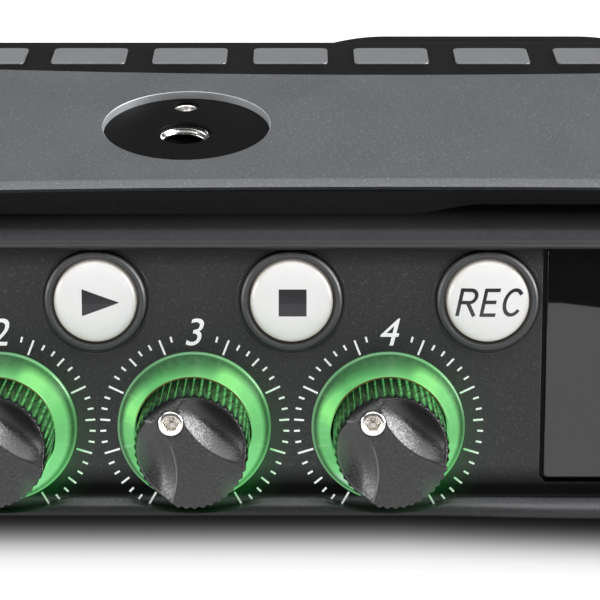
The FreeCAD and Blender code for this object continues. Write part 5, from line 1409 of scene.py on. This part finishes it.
steps_ = [(-3.7, 0.008), (-3.07, 0.0103), (-2.25, 0.0194), (-1.43, 0.0409), (-0.62, 0.0844), (0.18, 0.147), (0.98, 0.238), (1.78, 0.361), (2.57, 0.491), (3.36, 0.617), (4.15, 0.7305), (4.93, 0.823), (5.71, 0.905), (6.48, 0.947), (7.25, 0.98), (8.5, 1.05), (11.0, PAPER)]
# painted contact shadow: the floor's glow darkens towards and under the body
shade = kf.ramp(kf.math("MULTIPLY_ADD", far, 1 / 16.0, 4.0 / 16.0, clamp=True), [((a + 4.0) / 16.0, grey(b / PAPER)) for a, b in steps_])
kf.set("Base Color", kf.mix(kf.remap(kf.noise(3e-3, 4), 0.0, 1.0), (0.0, 0.0, 0.0), (0.002, 0.002, 0.002)))
kf.set("Emission Color", kf.mix(kf.remap(kf.noise(0.3, 2), 0.0, 0.03), shade, (0.5, 0.5, 0.5), "MULTIPLY"))
kf.set("Emission Strength", PAPER)
kf.set("Roughness", kf.remap(kf.noise(2e-3, 3), 0.88, 0.94))
kf.set("Specular IOR Level", 0.0)
fl.materials.append(kf.mat)


def area(name, loc, size, watts, aim, color=(1, 1, 1), shape="RECTANGLE", glossy=True, spread=180.0):
    li = bpy.data.lights.new(name, "AREA")
    li.shape = shape
    li.size, li.size_y = size
    li.energy = watts
    li.color = color
    li.spread = math.radians(spread)
    ob = bpy.data.objects.new(name, li)
    bpy.context.scene.collection.objects.link(ob)
    ob.location = loc
    ob.rotation_mode = "QUATERNION"
    ob.rotation_quaternion = (Vector(aim) - Vector(loc)).to_track_quat("-Z", "Y")
    ob.visible_camera = False
    ob.visible_glossy = glossy
    return ob


area("softbox_top", (0.0, 0.12, 0.95), (1.5, 1.1), 21.0, (0.0, 0.05, 0.0))
for name, loc, size, watts, aim, roll in (
        ("card_right", (0.98, -0.02, 0.42), (0.8, 0.75), 42.0, (0.0, 0.0, 0.02), 0.0),
        ("card_left", (-1.0, -0.2, 0.22), (0.7, 0.4), 9.0, (0.0, 0.0, 0.02), 0.0)):
    card = area(name, loc, size, watts, aim)
    card.rotation_quaternion = card.rotation_quaternion @ Matrix.Rotation(math.radians(roll), 4, "Z").to_quaternion()
    card.visible_diffuse = False
# low white card in front, seen only in gloss: its top edge slopes down towards the right end
kc = Nodes("card_white")
kc.set("Base Color", kc.mix(kc.remap(kc.noise(0.05, 2), 0.0, 1.0), (0.0, 0.0, 0.0), (0.002, 0.002, 0.002)))
kc.set("Roughness", kc.remap(kc.noise(0.05, 2), 0.85, 0.95))
kc.set("Emission Color", kc.mix(kc.remap(kc.noise(0.3, 2), 0.0, 0.02), (1.0, 1.0, 1.0), (0.9, 0.9, 0.9)))
kc.set("Emission Strength", 1.97)
me = bpy.data.meshes.new("card_front")
me.from_pydata([(-1.6, -1.2, 0.0), (0.142, -1.2, 0.0), (0.6, -1.2, 0.0), (0.6, -1.2, 0.058), (0.142, -1.2, 0.1157), (-1.6, -1.2, 0.1157)], [], [(0, 1, 4, 5), (1, 2, 3, 4)])
card = bpy.data.objects.new("card_front", me)
me.materials.append(kc.mat)
bpy.context.scene.collection.objects.link(card)
card.visible_camera = False
card.visible_diffuse = False
card.visible_shadow = False

world = bpy.data.worlds.new("studio")
bpy.context.scene.world = world
world.use_nodes = True
bg = world.node_tree.nodes["Background"]
bg.inputs[0].default_value = (1, 1, 1, 1)
bg.inputs[1].default_value = 0.06

cam = bpy.data.cameras.new("camera")
cam.sensor_width = 36.0
cam.lens = 2427.0 / 600.0 * 36.0
cam.clip_start, cam.clip_end = 0.01, 50.0
co = bpy.data.objects.new("camera", cam)
bpy.context.scene.collection.objects.link(co)
co.matrix_world = Matrix.Translation(M_DESIGN @ Vector((-11.3255, -225.6475, 150.5038))) @ Matrix.Rotation(math.radians(90 - 28.1), 4, "X")
bpy.context.scene.camera = co
bpy.context.scene.view_settings.view_transform = "Standard"
bpy.context.scene.view_settings.look = "None"
